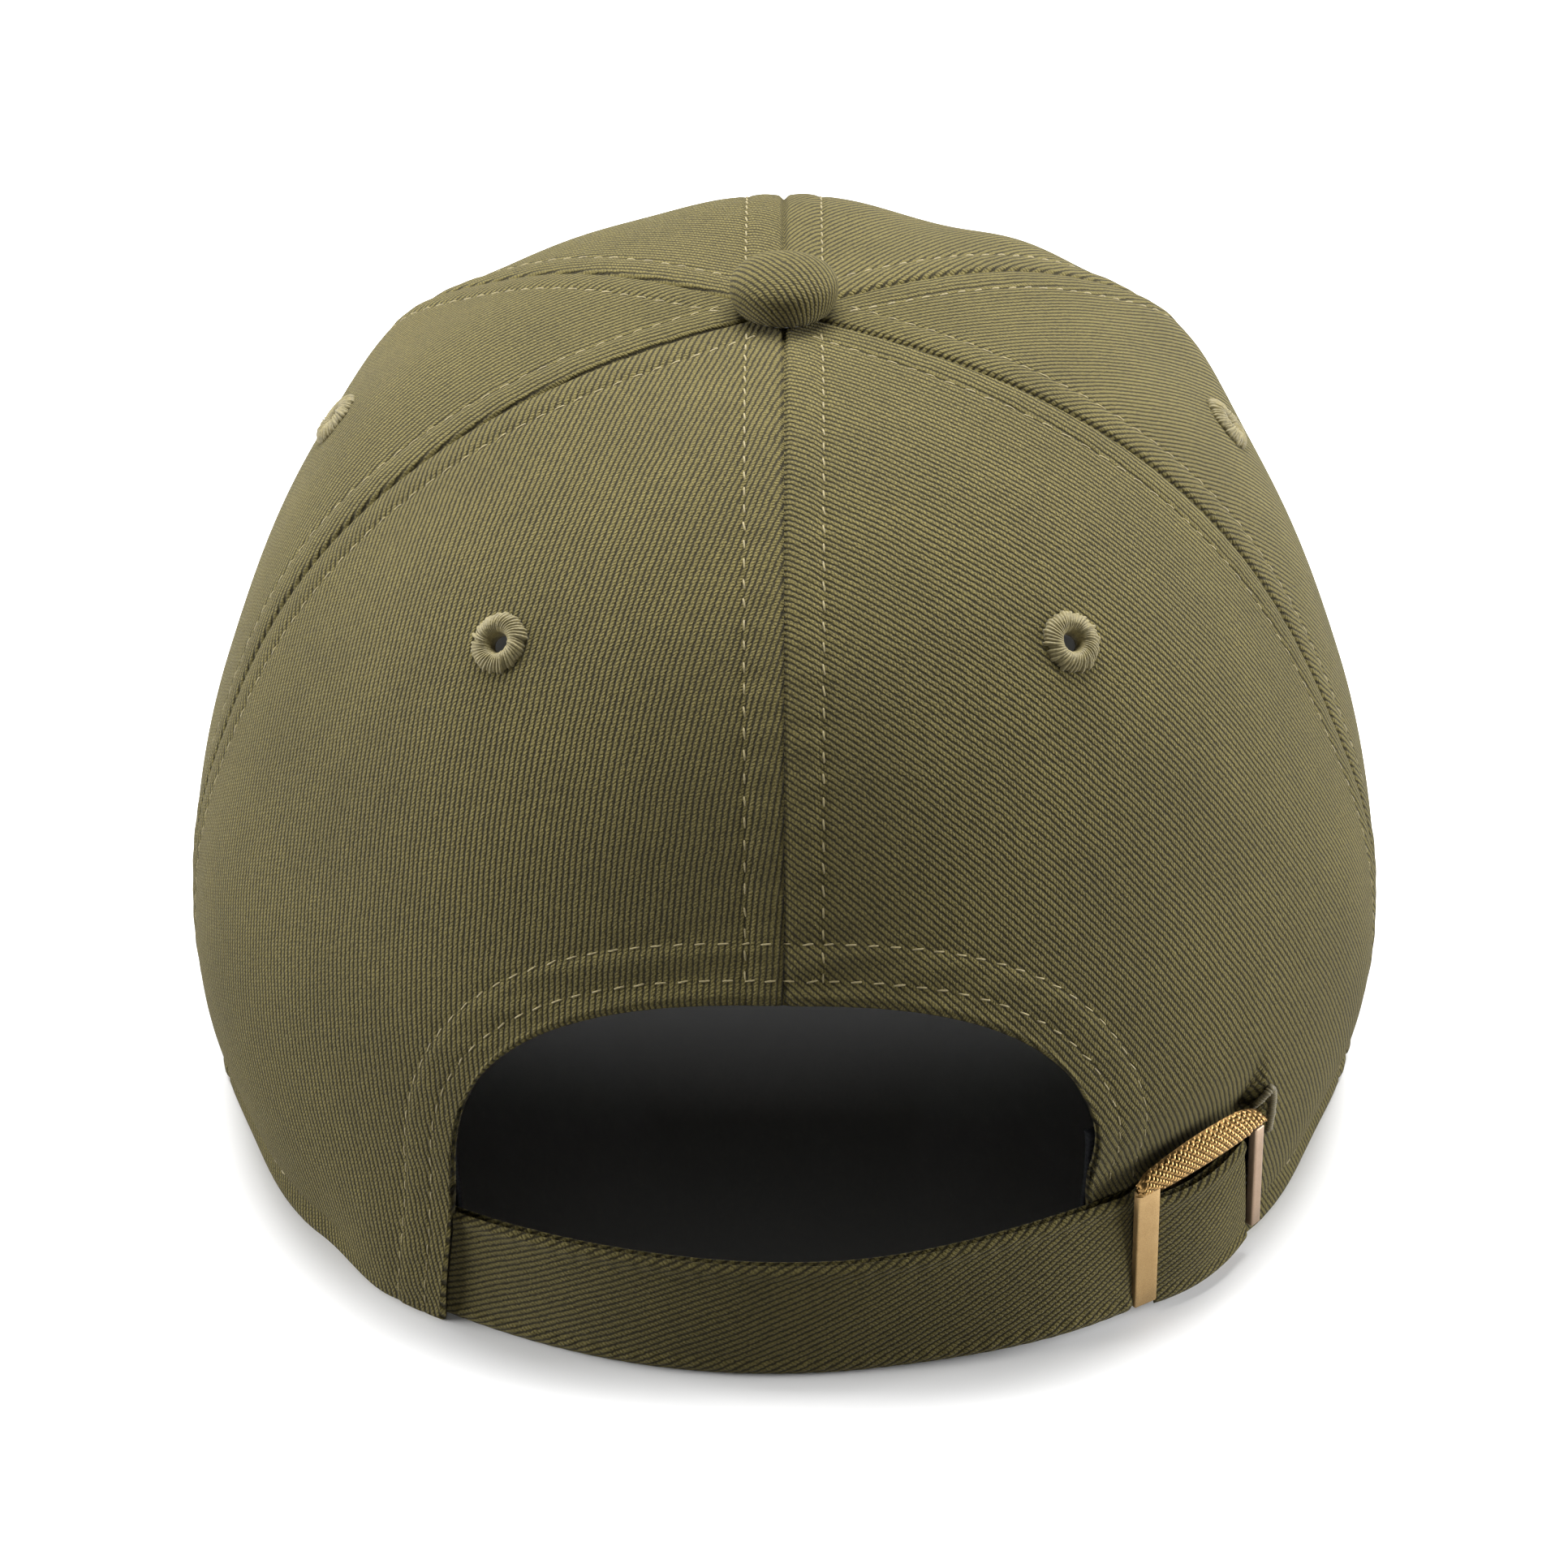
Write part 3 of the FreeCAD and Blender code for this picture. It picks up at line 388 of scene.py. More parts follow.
def ribbed_material(name, colour, pitch, along, depth=0.25):
    """Black woven goods with fine ribs; along is the cloth map axis that the ribs repeat on."""
    material, shader = new_material(name)
    cloth_map = add_node(material, "ShaderNodeUVMap", {"uv_map": "cloth"})
    axes = add_node(material, "ShaderNodeSeparateXYZ", Vector=cloth_map.outputs["UV"])
    ribs = add_node(material, "ShaderNodeMath", {"operation": "DIVIDE"},
                    _0=axes.outputs[along], _1=pitch)
    wave = add_node(material, "ShaderNodeMath", {"operation": "PINGPONG"}, _0=ribs.outputs[0], _1=0.5)
    fibres = add_node(material, "ShaderNodeTexNoise", {"noise_dimensions": "2D"},
                      Vector=cloth_map.outputs["UV"], Scale=2.0, Detail=3.0)
    relief = add_node(material, "ShaderNodeMath", {"operation": "MULTIPLY_ADD"},
                      _0=fibres.outputs["Fac"], _1=0.3, _2=wave.outputs[0])
    # Painted shade and highlight: the rib relief that drives the bump also darkens the colour in the
    # valleys and lightens it on the rib tops.
    shade = add_node(material, "ShaderNodeMapRange", Value=relief.outputs[0], From_Min=0.0,
                     From_Max=0.8, To_Min=0.45, To_Max=1.3)
    mixed = add_node(material, "ShaderNodeMix", {"data_type": "RGBA", "blend_type": "MULTIPLY"},
                     Factor=1.0, _6=linear(colour), _7=shade.outputs["Result"])
    bump = add_node(material, "ShaderNodeBump", Strength=1.0, Distance=depth * MM,
                    Height=relief.outputs[0])
    material.node_tree.links.new(mixed.outputs[2], shader.inputs["Base Color"])
    material.node_tree.links.new(bump.outputs["Normal"], shader.inputs["Normal"])
    shader.inputs["Roughness"].default_value = 0.85
    shader.inputs["Specular IOR Level"].default_value = 0.2
    return material


SWEATBAND_CLOTH = ribbed_material("black_ribbed_tape", "#16171a", 0.9, "Y")
TAPE_CLOTH = ribbed_material("black_seam_tape", "#141416", 0.7, "X")
# The buckram is black cloth, and its colour is set darker still, near zero, as painted shade for the
# inside of the crown.
LINING_CLOTH = ribbed_material("black_buckram_and_painted_shade", "#0b0b0c", 1.1, "Y", 0.2)
print("soft finishes:", [item.name for item in (THREAD, SLOT_THREAD, EYELET_THREAD, SWEATBAND_CLOTH,
                                                TAPE_CLOTH, LINING_CLOTH)])

# %% [markdown]
# ## Cloth as meshes
#
# A piece of cloth here is two sheets of points, the right side and the wrong side, joined by
# a wall all round and round every hole. Building both sheets from one grid keeps the piece
# closed and keeps its cloth map on both sides.


# %% Mesh helpers
def make_object(name, vertices, faces, material, uv=None, smooth=True):
    """A mesh object at the origin, from points in millimetres."""
    mesh = bpy.data.meshes.new(name)
    vertices = np.asarray(vertices, float) * MM
    faces = np.asarray(faces, np.int32)
    mesh.vertices.add(len(vertices))
    mesh.vertices.foreach_set("co", vertices.ravel())
    size = faces.shape[1]
    mesh.loops.add(faces.size)
    mesh.loops.foreach_set("vertex_index", faces.ravel())
    mesh.polygons.add(len(faces))
    mesh.polygons.foreach_set("loop_start", np.arange(len(faces), dtype=np.int32) * size)
    mesh.update(calc_edges=True)
    if uv is not None:
        layer = mesh.uv_layers.new(name="cloth")
        layer.data.foreach_set("uv", np.asarray(uv, float)[faces.ravel()].ravel())
    mesh.polygons.foreach_set("use_smooth", np.full(len(faces), smooth))
    mesh.validate()
    item = bpy.data.objects.new(name, mesh)
    bpy.context.scene.collection.objects.link(item)
    mesh.materials.append(material)
    return item


def shell_faces(shape, keep):
    """Faces of two sheets of grid points and of the walls round every kept region."""
    rows, columns = shape
    number = np.arange(rows * columns).reshape(rows, columns)
    other = number + rows * columns
    a, b, c, d = number[:-1, :-1], number[:-1, 1:], number[1:, 1:], number[1:, :-1]
    quads = [np.stack([a, b, c, d], -1)[keep]]
    quads.append(np.stack([a, d, c, b], -1)[keep] + rows * columns)
    padded = np.pad(keep, 1)
    inner = padded[1:-1, 1:-1]
    for shift, first, second in (((0, -1), d, a), ((0, 1), b, c), ((-1, 0), a, b), ((1, 0), c, d)):
        beside = np.roll(padded, (-shift[0], -shift[1]), (0, 1))[1:-1, 1:-1]
        edge = inner & ~beside
        start, end = first[edge], second[edge]
        quads.append(np.stack([end, start, other.ravel()[start], other.ravel()[end]], -1))
    return np.concatenate(quads)


def cloth_shell(name, right_side, wrong_side, uv, material, keep=None):
    """A closed piece of cloth between two grids of points."""
    shape = right_side.shape[:2]
    if keep is None:
        keep = np.ones((shape[0] - 1, shape[1] - 1), bool)
    faces = shell_faces(shape, keep)
    used, faces = np.unique(faces, return_inverse=True)
    faces = faces.reshape(-1, 4)
    vertices = np.concatenate([right_side.reshape(-1, 3), wrong_side.reshape(-1, 3)])[used]
    maps = np.concatenate([uv.reshape(-1, 2), uv.reshape(-1, 2)])[used]
    corners = vertices[faces]
    normal = np.cross(corners[:, 2] - corners[:, 0], corners[:, 3] - corners[:, 1])
    if (corners.mean(1) * normal).sum() < 0:
        faces = faces[:, ::-1]
    piece = make_object(name, vertices, faces, material, maps)
    print("%-24s %7d triangles" % (name, 2 * len(faces)))
    return piece


def edit_mesh(piece, work):
    """Runs edit operators on the whole of one piece."""
    bpy.ops.object.select_all(action="DESELECT")
    piece.select_set(True)
    bpy.context.view_layer.objects.active = piece
    bpy.ops.object.mode_set(mode="EDIT")
    bpy.ops.mesh.select_all(action="SELECT")
    work()
    bpy.ops.object.mode_set(mode="OBJECT")


def recalculate(piece):
    """Turns a closed piece's faces outwards."""
    edit_mesh(piece, lambda: bpy.ops.mesh.normals_make_consistent(inside=False))


# %% [markdown]
# ## The crown's cloth
#
# Sewn cloth is never a smooth dome. At each seam the two edges turn in, which leaves a narrow
# valley; the folded allowance under it makes a low ridge on both sides, out to the row of
# topstitching, where the thread pulls the cloth down again. The pull also puckers the cloth
# in short ripples across the seam, and the whole crown has shallow dents where it has been
# handled.


# %% Relief of the sewn cloth
STITCH_OFFSET = 5.5
STITCH_PITCH = 3.0


def ease(value, start, end):
    """0 before start, 1 after end, smooth between."""
    share = np.clip((value - start) / (end - start), 0.0, 1.0)
    return share * share * (3.0 - 2.0 * share)


def bell(value, width):
    return np.exp(-(value / width) ** 2)


def seam_distance(name, direction, distance):
    """Signed distance along the cloth from a seam."""
    gap = (direction - seam_direction(SEAMS[name], distance) + 180.0) % 360.0 - 180.0
    return np.radians(gap) * radius_at(distance)


def handled_dents(direction, distance):
    """Shallow waves and dents over the whole crown, a sum of a few slow waves."""
    turn = np.radians(direction)
    wall = distance / RIM_DISTANCE
    waves = 0.45 * np.sin(3.0 * turn + 4.2 * wall + 0.6) + 0.35 * np.sin(5.0 * turn - 6.5 * wall + 2.1)
    waves += 0.28 * np.sin(8.0 * turn + 9.0 * wall + 4.0) * np.sin(3.0 * wall)
    return waves * np.clip(wall * 2.5, 0.0, 1.0)


# Direction, distance down the cloth, height and the two widths of each fuller place
PUFFS = ((171.0, 48.0, 2.3, 13.0, 22.0), (-171.0, 48.0, 2.3, 13.0, 22.0), (-139.0, 54.0, 0.9, 8.0, 14.0),
         (70.0, 176.0, -3.0, 13.0, 15.0), (-70.0, 176.0, -3.3, 13.0, 15.0),
         (121.0, 70.0, 2.7, 11.0, 13.0), (-119.0, 71.0, 2.7, 11.0, 13.0))


def puffed(direction, distance):
    """How far the fuller and the pressed places stand out."""
    full = 0.0
    for middle, down, height, wide, long in PUFFS:
        turn = (direction - middle + 180.0) % 360.0 - 180.0
        full = full + height * bell(turn, wide) * bell(distance - down, long)
    return full


def cloth_relief(direction, distance):
    """How far the sewn cloth stands out from the plain form."""
    relief = handled_dents(direction, distance) + puffed(direction, distance)
    relief = relief + arch_relief(direction, distance) - pressed_in(direction, distance)
    fade = np.clip((distance - 6.0) / 12.0, 0.0, 1.0)
    for name in SEAMS:
        gap = seam_distance(name, direction, distance)
        side = np.abs(gap)
        ripple = np.sin(2 * np.pi * distance / 5.3 + 1.7 * np.sin(distance / 11.0) + np.sign(gap))
        relief -= 0.6 * bell(side, 0.5)
        relief += 0.3 * bell(side - 2.9, 2.3) * fade
        relief -= 0.2 * bell(side - STITCH_OFFSET, 0.6) * fade
        relief += 0.045 * ripple * bell(side - 4.0, 3.6) * fade
        relief -= 0.5 * bell(side, 16.0) * np.clip(distance / 60.0, 0.0, 1.0)
    above_rim = rim_distance(direction) - distance
    clear_of_arch = ease(np.abs(direction), 42.0, 54.0)
    return relief + clear_of_arch * (0.8 * bell(above_rim - 1.6, 1.6) - 0.3 * bell(above_rim - 4.6, 0.7))


def crown_surface(direction, distance, inset=0.0, relief=True):
    """Points on the crown's cloth; inset counts inwards through the layers."""
    def plain(a, b):
        return outline(a, height_at(b))

    points = plain(direction, distance)
    step = 0.4
    around = plain(direction + step, distance) - plain(direction - step, distance)
    down = plain(direction, distance + step) - plain(direction, np.maximum(distance - step, 0.01))
    normal = np.cross(down, around)
    normal /= np.linalg.norm(normal, axis=-1, keepdims=True)
    outward = points - np.array([0.0, 0.0, 20.0])
    normal *= np.sign((normal * outward).sum(-1, keepdims=True))
    stand = -inset + (cloth_relief(direction, distance) if relief else 0.0)
    return points + normal * np.asarray(stand)[..., None], normal


def cloth_map(direction, middle, distance):
    """Where a point lies on the flat pattern piece, in millimetres."""
    across = np.radians(direction - middle) * radius_at(distance)
    swing = np.radians(direction - middle) * flare_at(distance)
    safe = np.where(np.abs(swing) < 1e-6, 1e-6, swing)
    return np.stack([across * np.sin(safe) / safe, -distance + across * (1.0 - np.cos(safe)) / safe], -1)


# %% Rim line and arch
VISOR_ARC = 145.0
VISOR_FRONT_HEIGHT = 31.0
VISOR_SLOPE = math.radians(4.0)
FLAT_RIM_TO = 25.0
VISOR_END = -38.0
VISOR_TOP_LIFT = 1.92
ARCH_HALF_WIDTH = {1: 46.4, -1: 43.9}
ARCH_SPRING = 25.0
ARCH_TOP = 57.5
ARCH_POWER = 2.4
ARCH_SPLAY = {1: -0.4, -1: 1.0}


def visor_height(x, y, lift=0.0):
    """Height of the visor's curved sheet at a plan position."""
    rise = (y + FRONT_REACH) * math.tan(VISOR_SLOPE)
    return VISOR_FRONT_HEIGHT - VISOR_ARC + rise + np.sqrt((VISOR_ARC + lift) ** 2 - x ** 2)


def rim_height(x, y):
    """The rim: flat behind, rising smoothly onto the top of the visor."""
    return ease(FLAT_RIM_TO - y, 0.0, FLAT_RIM_TO - VISOR_END) * visor_height(x, y, VISOR_TOP_LIFT)


def rim_distance(direction):
    """Distance down the cloth to the rim in this direction."""
    ground = outline(direction, np.zeros_like(direction))
    return distance_at(rim_height(ground[..., 0], ground[..., 1]))


def clustered(count, edge=0.28):
    """Shares from 0 to 1, closer together at both ends."""
    share = np.linspace(0.0, 1.0, count)
    return share - edge * np.sin(2 * np.pi * share) / (2 * np.pi) * 2.6


print("rim in front: %.1f mm high" % rim_height(0.0, -FRONT_REACH))


# %% [markdown]
# A rear panel's lower edge follows the arch, turns down its side and then runs along the rim.
# The grid's columns start evenly along that whole edge and fan in to the button, so the arch
# is a clean edge of the mesh and not a cut.


# %% The arch's hem
ARCH_ROWS = (3.2, 7.8)


def arch_edge(count, sign=1):
    """Points of half the arch from its top down to the rim: sideways and height."""
    turn = np.linspace(0.0, np.pi / 2, 60)
    side = ARCH_HALF_WIDTH[sign] * np.sin(turn) ** (2 / ARCH_POWER)
    up = ARCH_SPRING + (ARCH_TOP - ARCH_SPRING) * np.cos(turn) ** (2 / ARCH_POWER)
    side = np.append(side, ARCH_HALF_WIDTH[sign] + ARCH_SPLAY[sign])
    up = np.append(up, 0.0)
    along = np.concatenate([[0.0], np.cumsum(np.hypot(np.diff(side), np.diff(up)))])
    stops = np.linspace(0.0, along[-1], count)
    return np.interp(stops, along, side), np.interp(stops, along, up)


def flat_arch(sign):
    """One half of the arch's edge laid flat: round the wall and up."""
    side, up = arch_edge(240, sign)
    half = reach(RIM_HALF_WIDTH, *SIDE_POWERS, up)
    return half * np.arcsin(side / half), up


FLAT_ARCH = {sign: flat_arch(sign) for sign in (1, -1)}


def arch_gap(direction, distance):
    """How far a point lies from the arch's edge, along the cloth."""
    z = height_at(distance)
    around = np.radians(np.abs(direction)) * reach(RIM_HALF_WIDTH, *SIDE_POWERS, z)
    gaps = {}
    for sign, (sides, ups) in FLAT_ARCH.items():
        gaps[sign] = np.full(np.broadcast(around, z).shape, 99.0)
        for side, up in zip(sides, ups):
            gaps[sign] = np.minimum(gaps[sign], np.hypot(around - side, z - up))
    gap = np.where(direction > 0, gaps[1], gaps[-1])
    return np.where(np.abs(direction) < 75.0, gap, 99.0)


def arch_relief(direction, distance):
    """The hem round the arch: a folded band held by two rows, and a foot that flares."""
    gap = arch_gap(direction, distance)
    z = height_at(distance)
    band = 0.2 * (1.0 - ease(gap, ARCH_ROWS[1] - 0.8, ARCH_ROWS[1] + 0.2))
    band = band - 0.14 * bell(gap - ARCH_ROWS[0], 0.5) - 0.12 * bell(gap - ARCH_ROWS[1], 0.5)
    band = band + 0.1 * np.sin(z * 1.15 + 0.4 * direction) * bell(gap - 5.0, 4.0)
    foot = ease(direction, 24.0, 33.0) * (1.0 - ease(direction, 39.0, 51.0))
    return band + 3.4 * (1.0 - ease(z, 0.0, 25.0)) * foot


print("arch: %.1f mm wide, %.1f mm high" % (sum(ARCH_HALF_WIDTH.values()), ARCH_TOP))


# %% Grids for the panels
def rear_edge(columns, sign):
    """Lower edge of a rear panel as panel shares and distances, back seam to side seam."""
    arch_columns = int(columns * 0.56)
    side, up = arch_edge(arch_columns, sign)
    arch_direction = np.degrees(np.arcsin(side / reach(RIM_HALF_WIDTH, *SIDE_POWERS, up)))
    rim_direction = np.linspace(arch_direction[-1], REAR_SEAM[1], columns - arch_columns + 1)[1:]
    direction = np.concatenate([arch_direction, rim_direction])
    distance = np.concatenate([distance_at(up), np.full(len(rim_direction), RIM_DISTANCE)])
    return direction / seam_direction(REAR_SEAM, distance), distance


PANEL_SEAMS = {"rear_left": ("rear", "rear_left", 1), "side_left": ("rear_left", "front_left", 1),
               "front_left": ("front_left", "front", 1), "rear_right": ("rear", "rear_right", -1),
               "side_right": ("rear_right", "front_right", -1),
               "front_right": ("front_right", "front", -1)}


def panel_grid(name, rows, columns, top=1.3):
    """Directions and distances of a panel's grid, row 0 at its lower edge."""
    near, far, sign = PANEL_SEAMS[name]
    top_share = clustered(columns)
    if name.startswith("rear"):
        edge_share, edge_distance = rear_edge(columns, sign)
    else:
        edge_share = top_share
        middle = seam_direction(SEAMS[near], RIM_DISTANCE) * (1 - top_share)
        far_rim = seam_direction(SEAMS[far], RIM_DISTANCE)
        far_rim = far_rim if far != "front" else 180.0 * sign
        edge_distance = rim_distance(middle + far_rim * top_share)
    climb = np.linspace(0.0, 1.0, rows)[:, None]
    distance = edge_distance[None, :] + (top - edge_distance[None, :]) * climb
    blend = 1.0 - (1.0 - climb) ** 2.2
    share = edge_share[None, :] + (top_share - edge_share)[None, :] * blend
    near_direction = seam_direction(SEAMS[near], distance)
    far_direction = seam_direction(SEAMS[far], distance) if far != "front" else 180.0 * sign
    direction = near_direction + (far_direction - near_direction) * share
    middle = (near_direction + far_direction) / 2.0
    return direction, distance, middle


# %% [markdown]
# The cloth behind the strap's free end is pressed in by the strap and the buckle, and just
# past the buckle it comes back out: there the tuck slot lets the tail through to the inside.

# %% The pressed-in patch and the slot
BUCKLE_MIDDLE = (low("buckle_frame") + high("buckle_frame")) / 2
BUCKLE_DIRECTION = math.degrees(math.atan2(BUCKLE_MIDDLE[0], BUCKLE_MIDDLE[1] - STRAP_CENTRE_Y))
STRAP_LOW = low("strap_outer_ply")[2]
STRAP_HIGH = high("strap_outer_ply")[2]
SLOT_DIRECTION = -50.3
PRESS_DEPTH = 3.6


def pressed_in(direction, distance):
    """Depth of the patch behind the strap and buckle, on the wearer's right."""
    z = height_at(distance)
    sideways = ease(direction, SLOT_DIRECTION - 0.5, SLOT_DIRECTION + 0.5)
    sideways = sideways * ease(-direction, 16.0, 29.0)
    return PRESS_DEPTH * sideways * (1.0 - ease(z, STRAP_HIGH, STRAP_HIGH + 15.0))


print("buckle at %.1f degrees, strap from %.1f to %.1f mm high"
      % (BUCKLE_DIRECTION, STRAP_LOW, STRAP_HIGH))


# %% Sew the six panels
EYELET_HOLE = 2.3
CELL_CORNERS = ((slice(0, -1), slice(0, -1)), (slice(0, -1), slice(1, None)),
                (slice(1, None), slice(1, None)), (slice(1, None), slice(0, -1)))


def eyelet_place(name):
    """Centre of an eyelet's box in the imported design."""
    return (low(name) + high(name)) / 2


def corners_of(cells, shape):
    """The grid points that any of these cells touches."""
    touched = np.zeros(shape, bool)
    for rows, columns in CELL_CORNERS:
        touched[rows, columns] |= cells
    return touched


def open_hole(points, normals, keep, centre, radius):
    """Opens a round hole in a grid and pulls its edge onto the circle."""
    reach_out = points - centre
    flat = reach_out - (reach_out * normals).sum(-1, keepdims=True) * normals
    away = np.linalg.norm(flat, axis=-1)
    near = np.abs((reach_out * normals).sum(-1)) < 4.0
    inside = (away < radius) & near
    cell = inside[:-1, :-1] & inside[:-1, 1:] & inside[1:, 1:] & inside[1:, :-1]
    keep &= ~cell
    edge = inside & corners_of(cell, inside.shape) & corners_of(keep, inside.shape)
    move = flat / np.maximum(away[..., None], 1e-6) * (radius - away)[..., None]
    return np.where(edge[..., None], points + move, points), np.where(edge[..., None], move, 0.0)


def sew_panel(name, rows=150, columns=190):
    """One crown panel with its relief, rolled edge and holes."""
    direction, distance, middle = panel_grid(name, rows, columns)
    right_side, normals = crown_surface(direction, distance)
    edge_gap = np.linalg.norm(right_side - right_side[:1], axis=-1)
    roll = 0.55 * bell(edge_gap - 0.9, 1.0)
    round_off = 0.75 * bell(edge_gap, 0.6)
    wrong_side = right_side - normals * (CLOTH + roll - round_off)[..., None]
    right_side = right_side + normals * (roll * 0.6 - round_off)[..., None]
    keep = np.ones((rows - 1, columns - 1), bool)
    right_side, move = open_hole(right_side, normals, keep, eyelet_place(name + "_eyelet"),
                                 EYELET_HOLE)
    wrong_side = wrong_side + move
    if name == "rear_right":
        z = height_at(distance)
        centre = (direction[1:, 1:] + direction[:-1, :-1]) / 2
        cell_z = (z[1:, 1:] + z[:-1, :-1]) / 2
        in_slot = (np.abs(centre - SLOT_DIRECTION) < 0.75) & (cell_z < STRAP_HIGH + 1.0)
        keep &= ~(in_slot & (cell_z > 1.5))
    uv = cloth_map(direction, middle, distance)
    if name.endswith("right"):
        uv = uv + np.array([400.0, 0.0])
    piece = cloth_shell(name + "_panel_cloth", right_side, wrong_side, uv, TWILLS[name], keep)
    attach(piece, "cap")
    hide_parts(name + "_panel")


for panel in PANEL_SEAMS:
    sew_panel(panel)

# %% [markdown]
# ## Topstitching
#
# Every seam is sewn down by a row on each side, a quarter inch out, in a thread one shade
# lighter than the cloth. A stitch is a short rod whose ends dive into the cloth. It is made
# once as a few rings and repeated along each row with small changes, as a machine leaves them.

# %% Stitches
RANDOM = np.random.default_rng(7)


def stitch_rings():
    """One stitch along X, as shares of its length and multiples of the thread's radius."""
    along = np.array([-0.5, -0.34, 0.0, 0.34, 0.5])
    lift = np.array([-1.2, 0.1, 0.45, 0.1, -1.2])
    size = np.array([0.35, 0.95, 1.0, 0.95, 0.35])
    turn = np.arange(6) * np.pi / 3
    rings = np.zeros((5, 6, 3))
    rings[..., 0] = along[:, None]
    rings[..., 1] = size[:, None] * np.cos(turn)
    rings[..., 2] = lift[:, None] + size[:, None] * np.sin(turn)
    return rings


STITCH = stitch_rings()


def tube_faces(rings, sides):
    """Quads of a tube of rings, with a point at each end for its cap."""
    faces = []
    for r in range(rings - 1):
        for s in range(sides):
            t = (s + 1) % sides
            faces.append((r * sides + s, r * sides + t, (r + 1) * sides + t, (r + 1) * sides + s))
    first, last = rings * sides, rings * sides + 1
    for s in range(0, sides, 2):
        t, u = s + 1, (s + 2) % sides
        faces.append((first, u, t, s))
        top = (rings - 1) * sides
        faces.append((last, top + s, top + t, top + u))
    return np.array(faces)


STITCH_FACES = tube_faces(5, 6)


def sew_row(points, normals, pitch=STITCH_PITCH, length=1.8, radius=0.14):
    """Vertices of all stitches of one row along a line of points on the cloth."""
    gaps = np.linalg.norm(np.diff(points, axis=0), axis=1)
    along = np.concatenate([[0.0], np.cumsum(gaps)])
    count = int(along[-1] / pitch)
    places = (np.arange(count) + 0.5) * pitch + RANDOM.normal(0.0, 0.07, count)
    middle = np.stack([np.interp(places, along, points[:, k]) for k in range(3)], -1)
    ahead = np.stack([np.interp(places + 0.5, along, points[:, k]) for k in range(3)], -1)
    normal = np.stack([np.interp(places, along, normals[:, k]) for k in range(3)], -1)
    normal /= np.linalg.norm(normal, axis=1, keepdims=True)
    line = ahead - middle
    line /= np.maximum(np.linalg.norm(line, axis=1, keepdims=True), 1e-9)
    side = np.cross(normal, line)
    skew = RANDOM.normal(0.12, 0.06, (count, 1))
    line, side = line + side * skew, side - line * skew
    long = length * (1.0 + RANDOM.normal(0.0, 0.05, count))
    rings = STITCH.reshape(-1, 3)
    ends = np.array([[-0.52, 0.0, -1.2], [0.52, 0.0, -1.2]])
    shape = np.concatenate([rings, ends])
    body = middle[:, None] + line[:, None] * (shape[None, :, :1] * long[:, None, None])
    body = body + side[:, None] * shape[None, :, 1:2] * radius
    return body + normal[:, None] * (shape[None, :, 2:] * radius)


def sew_rows(name, rows, body="cap"):
    """One piece from many rows of stitches."""
    stitches = np.concatenate([row for row in rows if len(row)])
    size = stitches.shape[1]
    faces = STITCH_FACES[None] + (np.arange(len(stitches)) * size)[:, None, None]
    piece = make_object(name, stitches.reshape(-1, 3), faces.reshape(-1, 4), THREAD)
    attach(piece, body)
    print("%-24s %5d stitches" % (name, len(stitches)))


# %% Rows beside the seams
def seam_row(seam, side):
    """A line of points a stitch offset to one side of a seam, button to rim."""
    distance = np.linspace(8.5, RIM_DISTANCE, 400)
    direction = seam_direction(SEAMS[seam], distance)
    direction = direction + side * np.degrees(STITCH_OFFSET / radius_at(distance))
    if seam == "rear":
        inside = height_at(distance) > ARCH_TOP + 0.7
    else:
        inside = distance < rim_distance(direction) - 1.5
    points, normals = crown_surface(direction[inside], distance[inside])
    return sew_row(points, normals)


SEAM_ROWS = [seam_row(seam, side) for seam in SEAMS for side in (-1.0, 1.0)]
sew_rows("seam_topstitching", SEAM_ROWS)


# %% Rows round the arch and along the rim
def arch_row(offset):
    """A line a set way outside the arch's edge, from the left foot over the top to the right."""
    halves = {}
    for sign, (around, up) in FLAT_ARCH.items():
        step_around, step_up = np.gradient(around), np.gradient(up)
        size = np.hypot(step_around, step_up)
        around = around - step_up / size * offset
        up = up + step_around / size * offset
        keep = (up > 1.5) & (around > 0)
        around, up = around[keep], up[keep]
        turned = sign * np.degrees(around / reach(RIM_HALF_WIDTH, *SIDE_POWERS, up))
        halves[sign] = (turned, distance_at(up))
    direction = np.concatenate([halves[1][0][::-1], halves[-1][0]])
    distance = np.concatenate([halves[1][1][::-1], halves[-1][1]])
    hidden = (direction < 0) & (height_at(distance) < STRAP_HIGH - 1.0)
    points, normals = crown_surface(direction[~hidden], distance[~hidden])
    return sew_row(points, normals)


def rim_row(offset, start, end):
    """A line just above the rim between two directions."""
    direction = np.linspace(start, end, 900)
    distance = rim_distance(direction) - offset
    points, normals = crown_surface(direction, distance)
    return sew_row(points, normals)


sew_rows("arch_topstitching", [arch_row(offset) for offset in ARCH_ROWS])
sew_rows("rim_topstitching", [rim_row(4.6, 58.0, 122.0), rim_row(4.6, -122.0, -58.0)])

# %% [markdown]
# ## Eyelets
#
# A sewn eyelet is a small hole whose edge is wrapped by satin stitches that run from inside
# the hole out over the cloth. The ring is lofted from a closed profile. Each thread is a
# ridge across the ring, and its outer end stops where the needle happened to land.


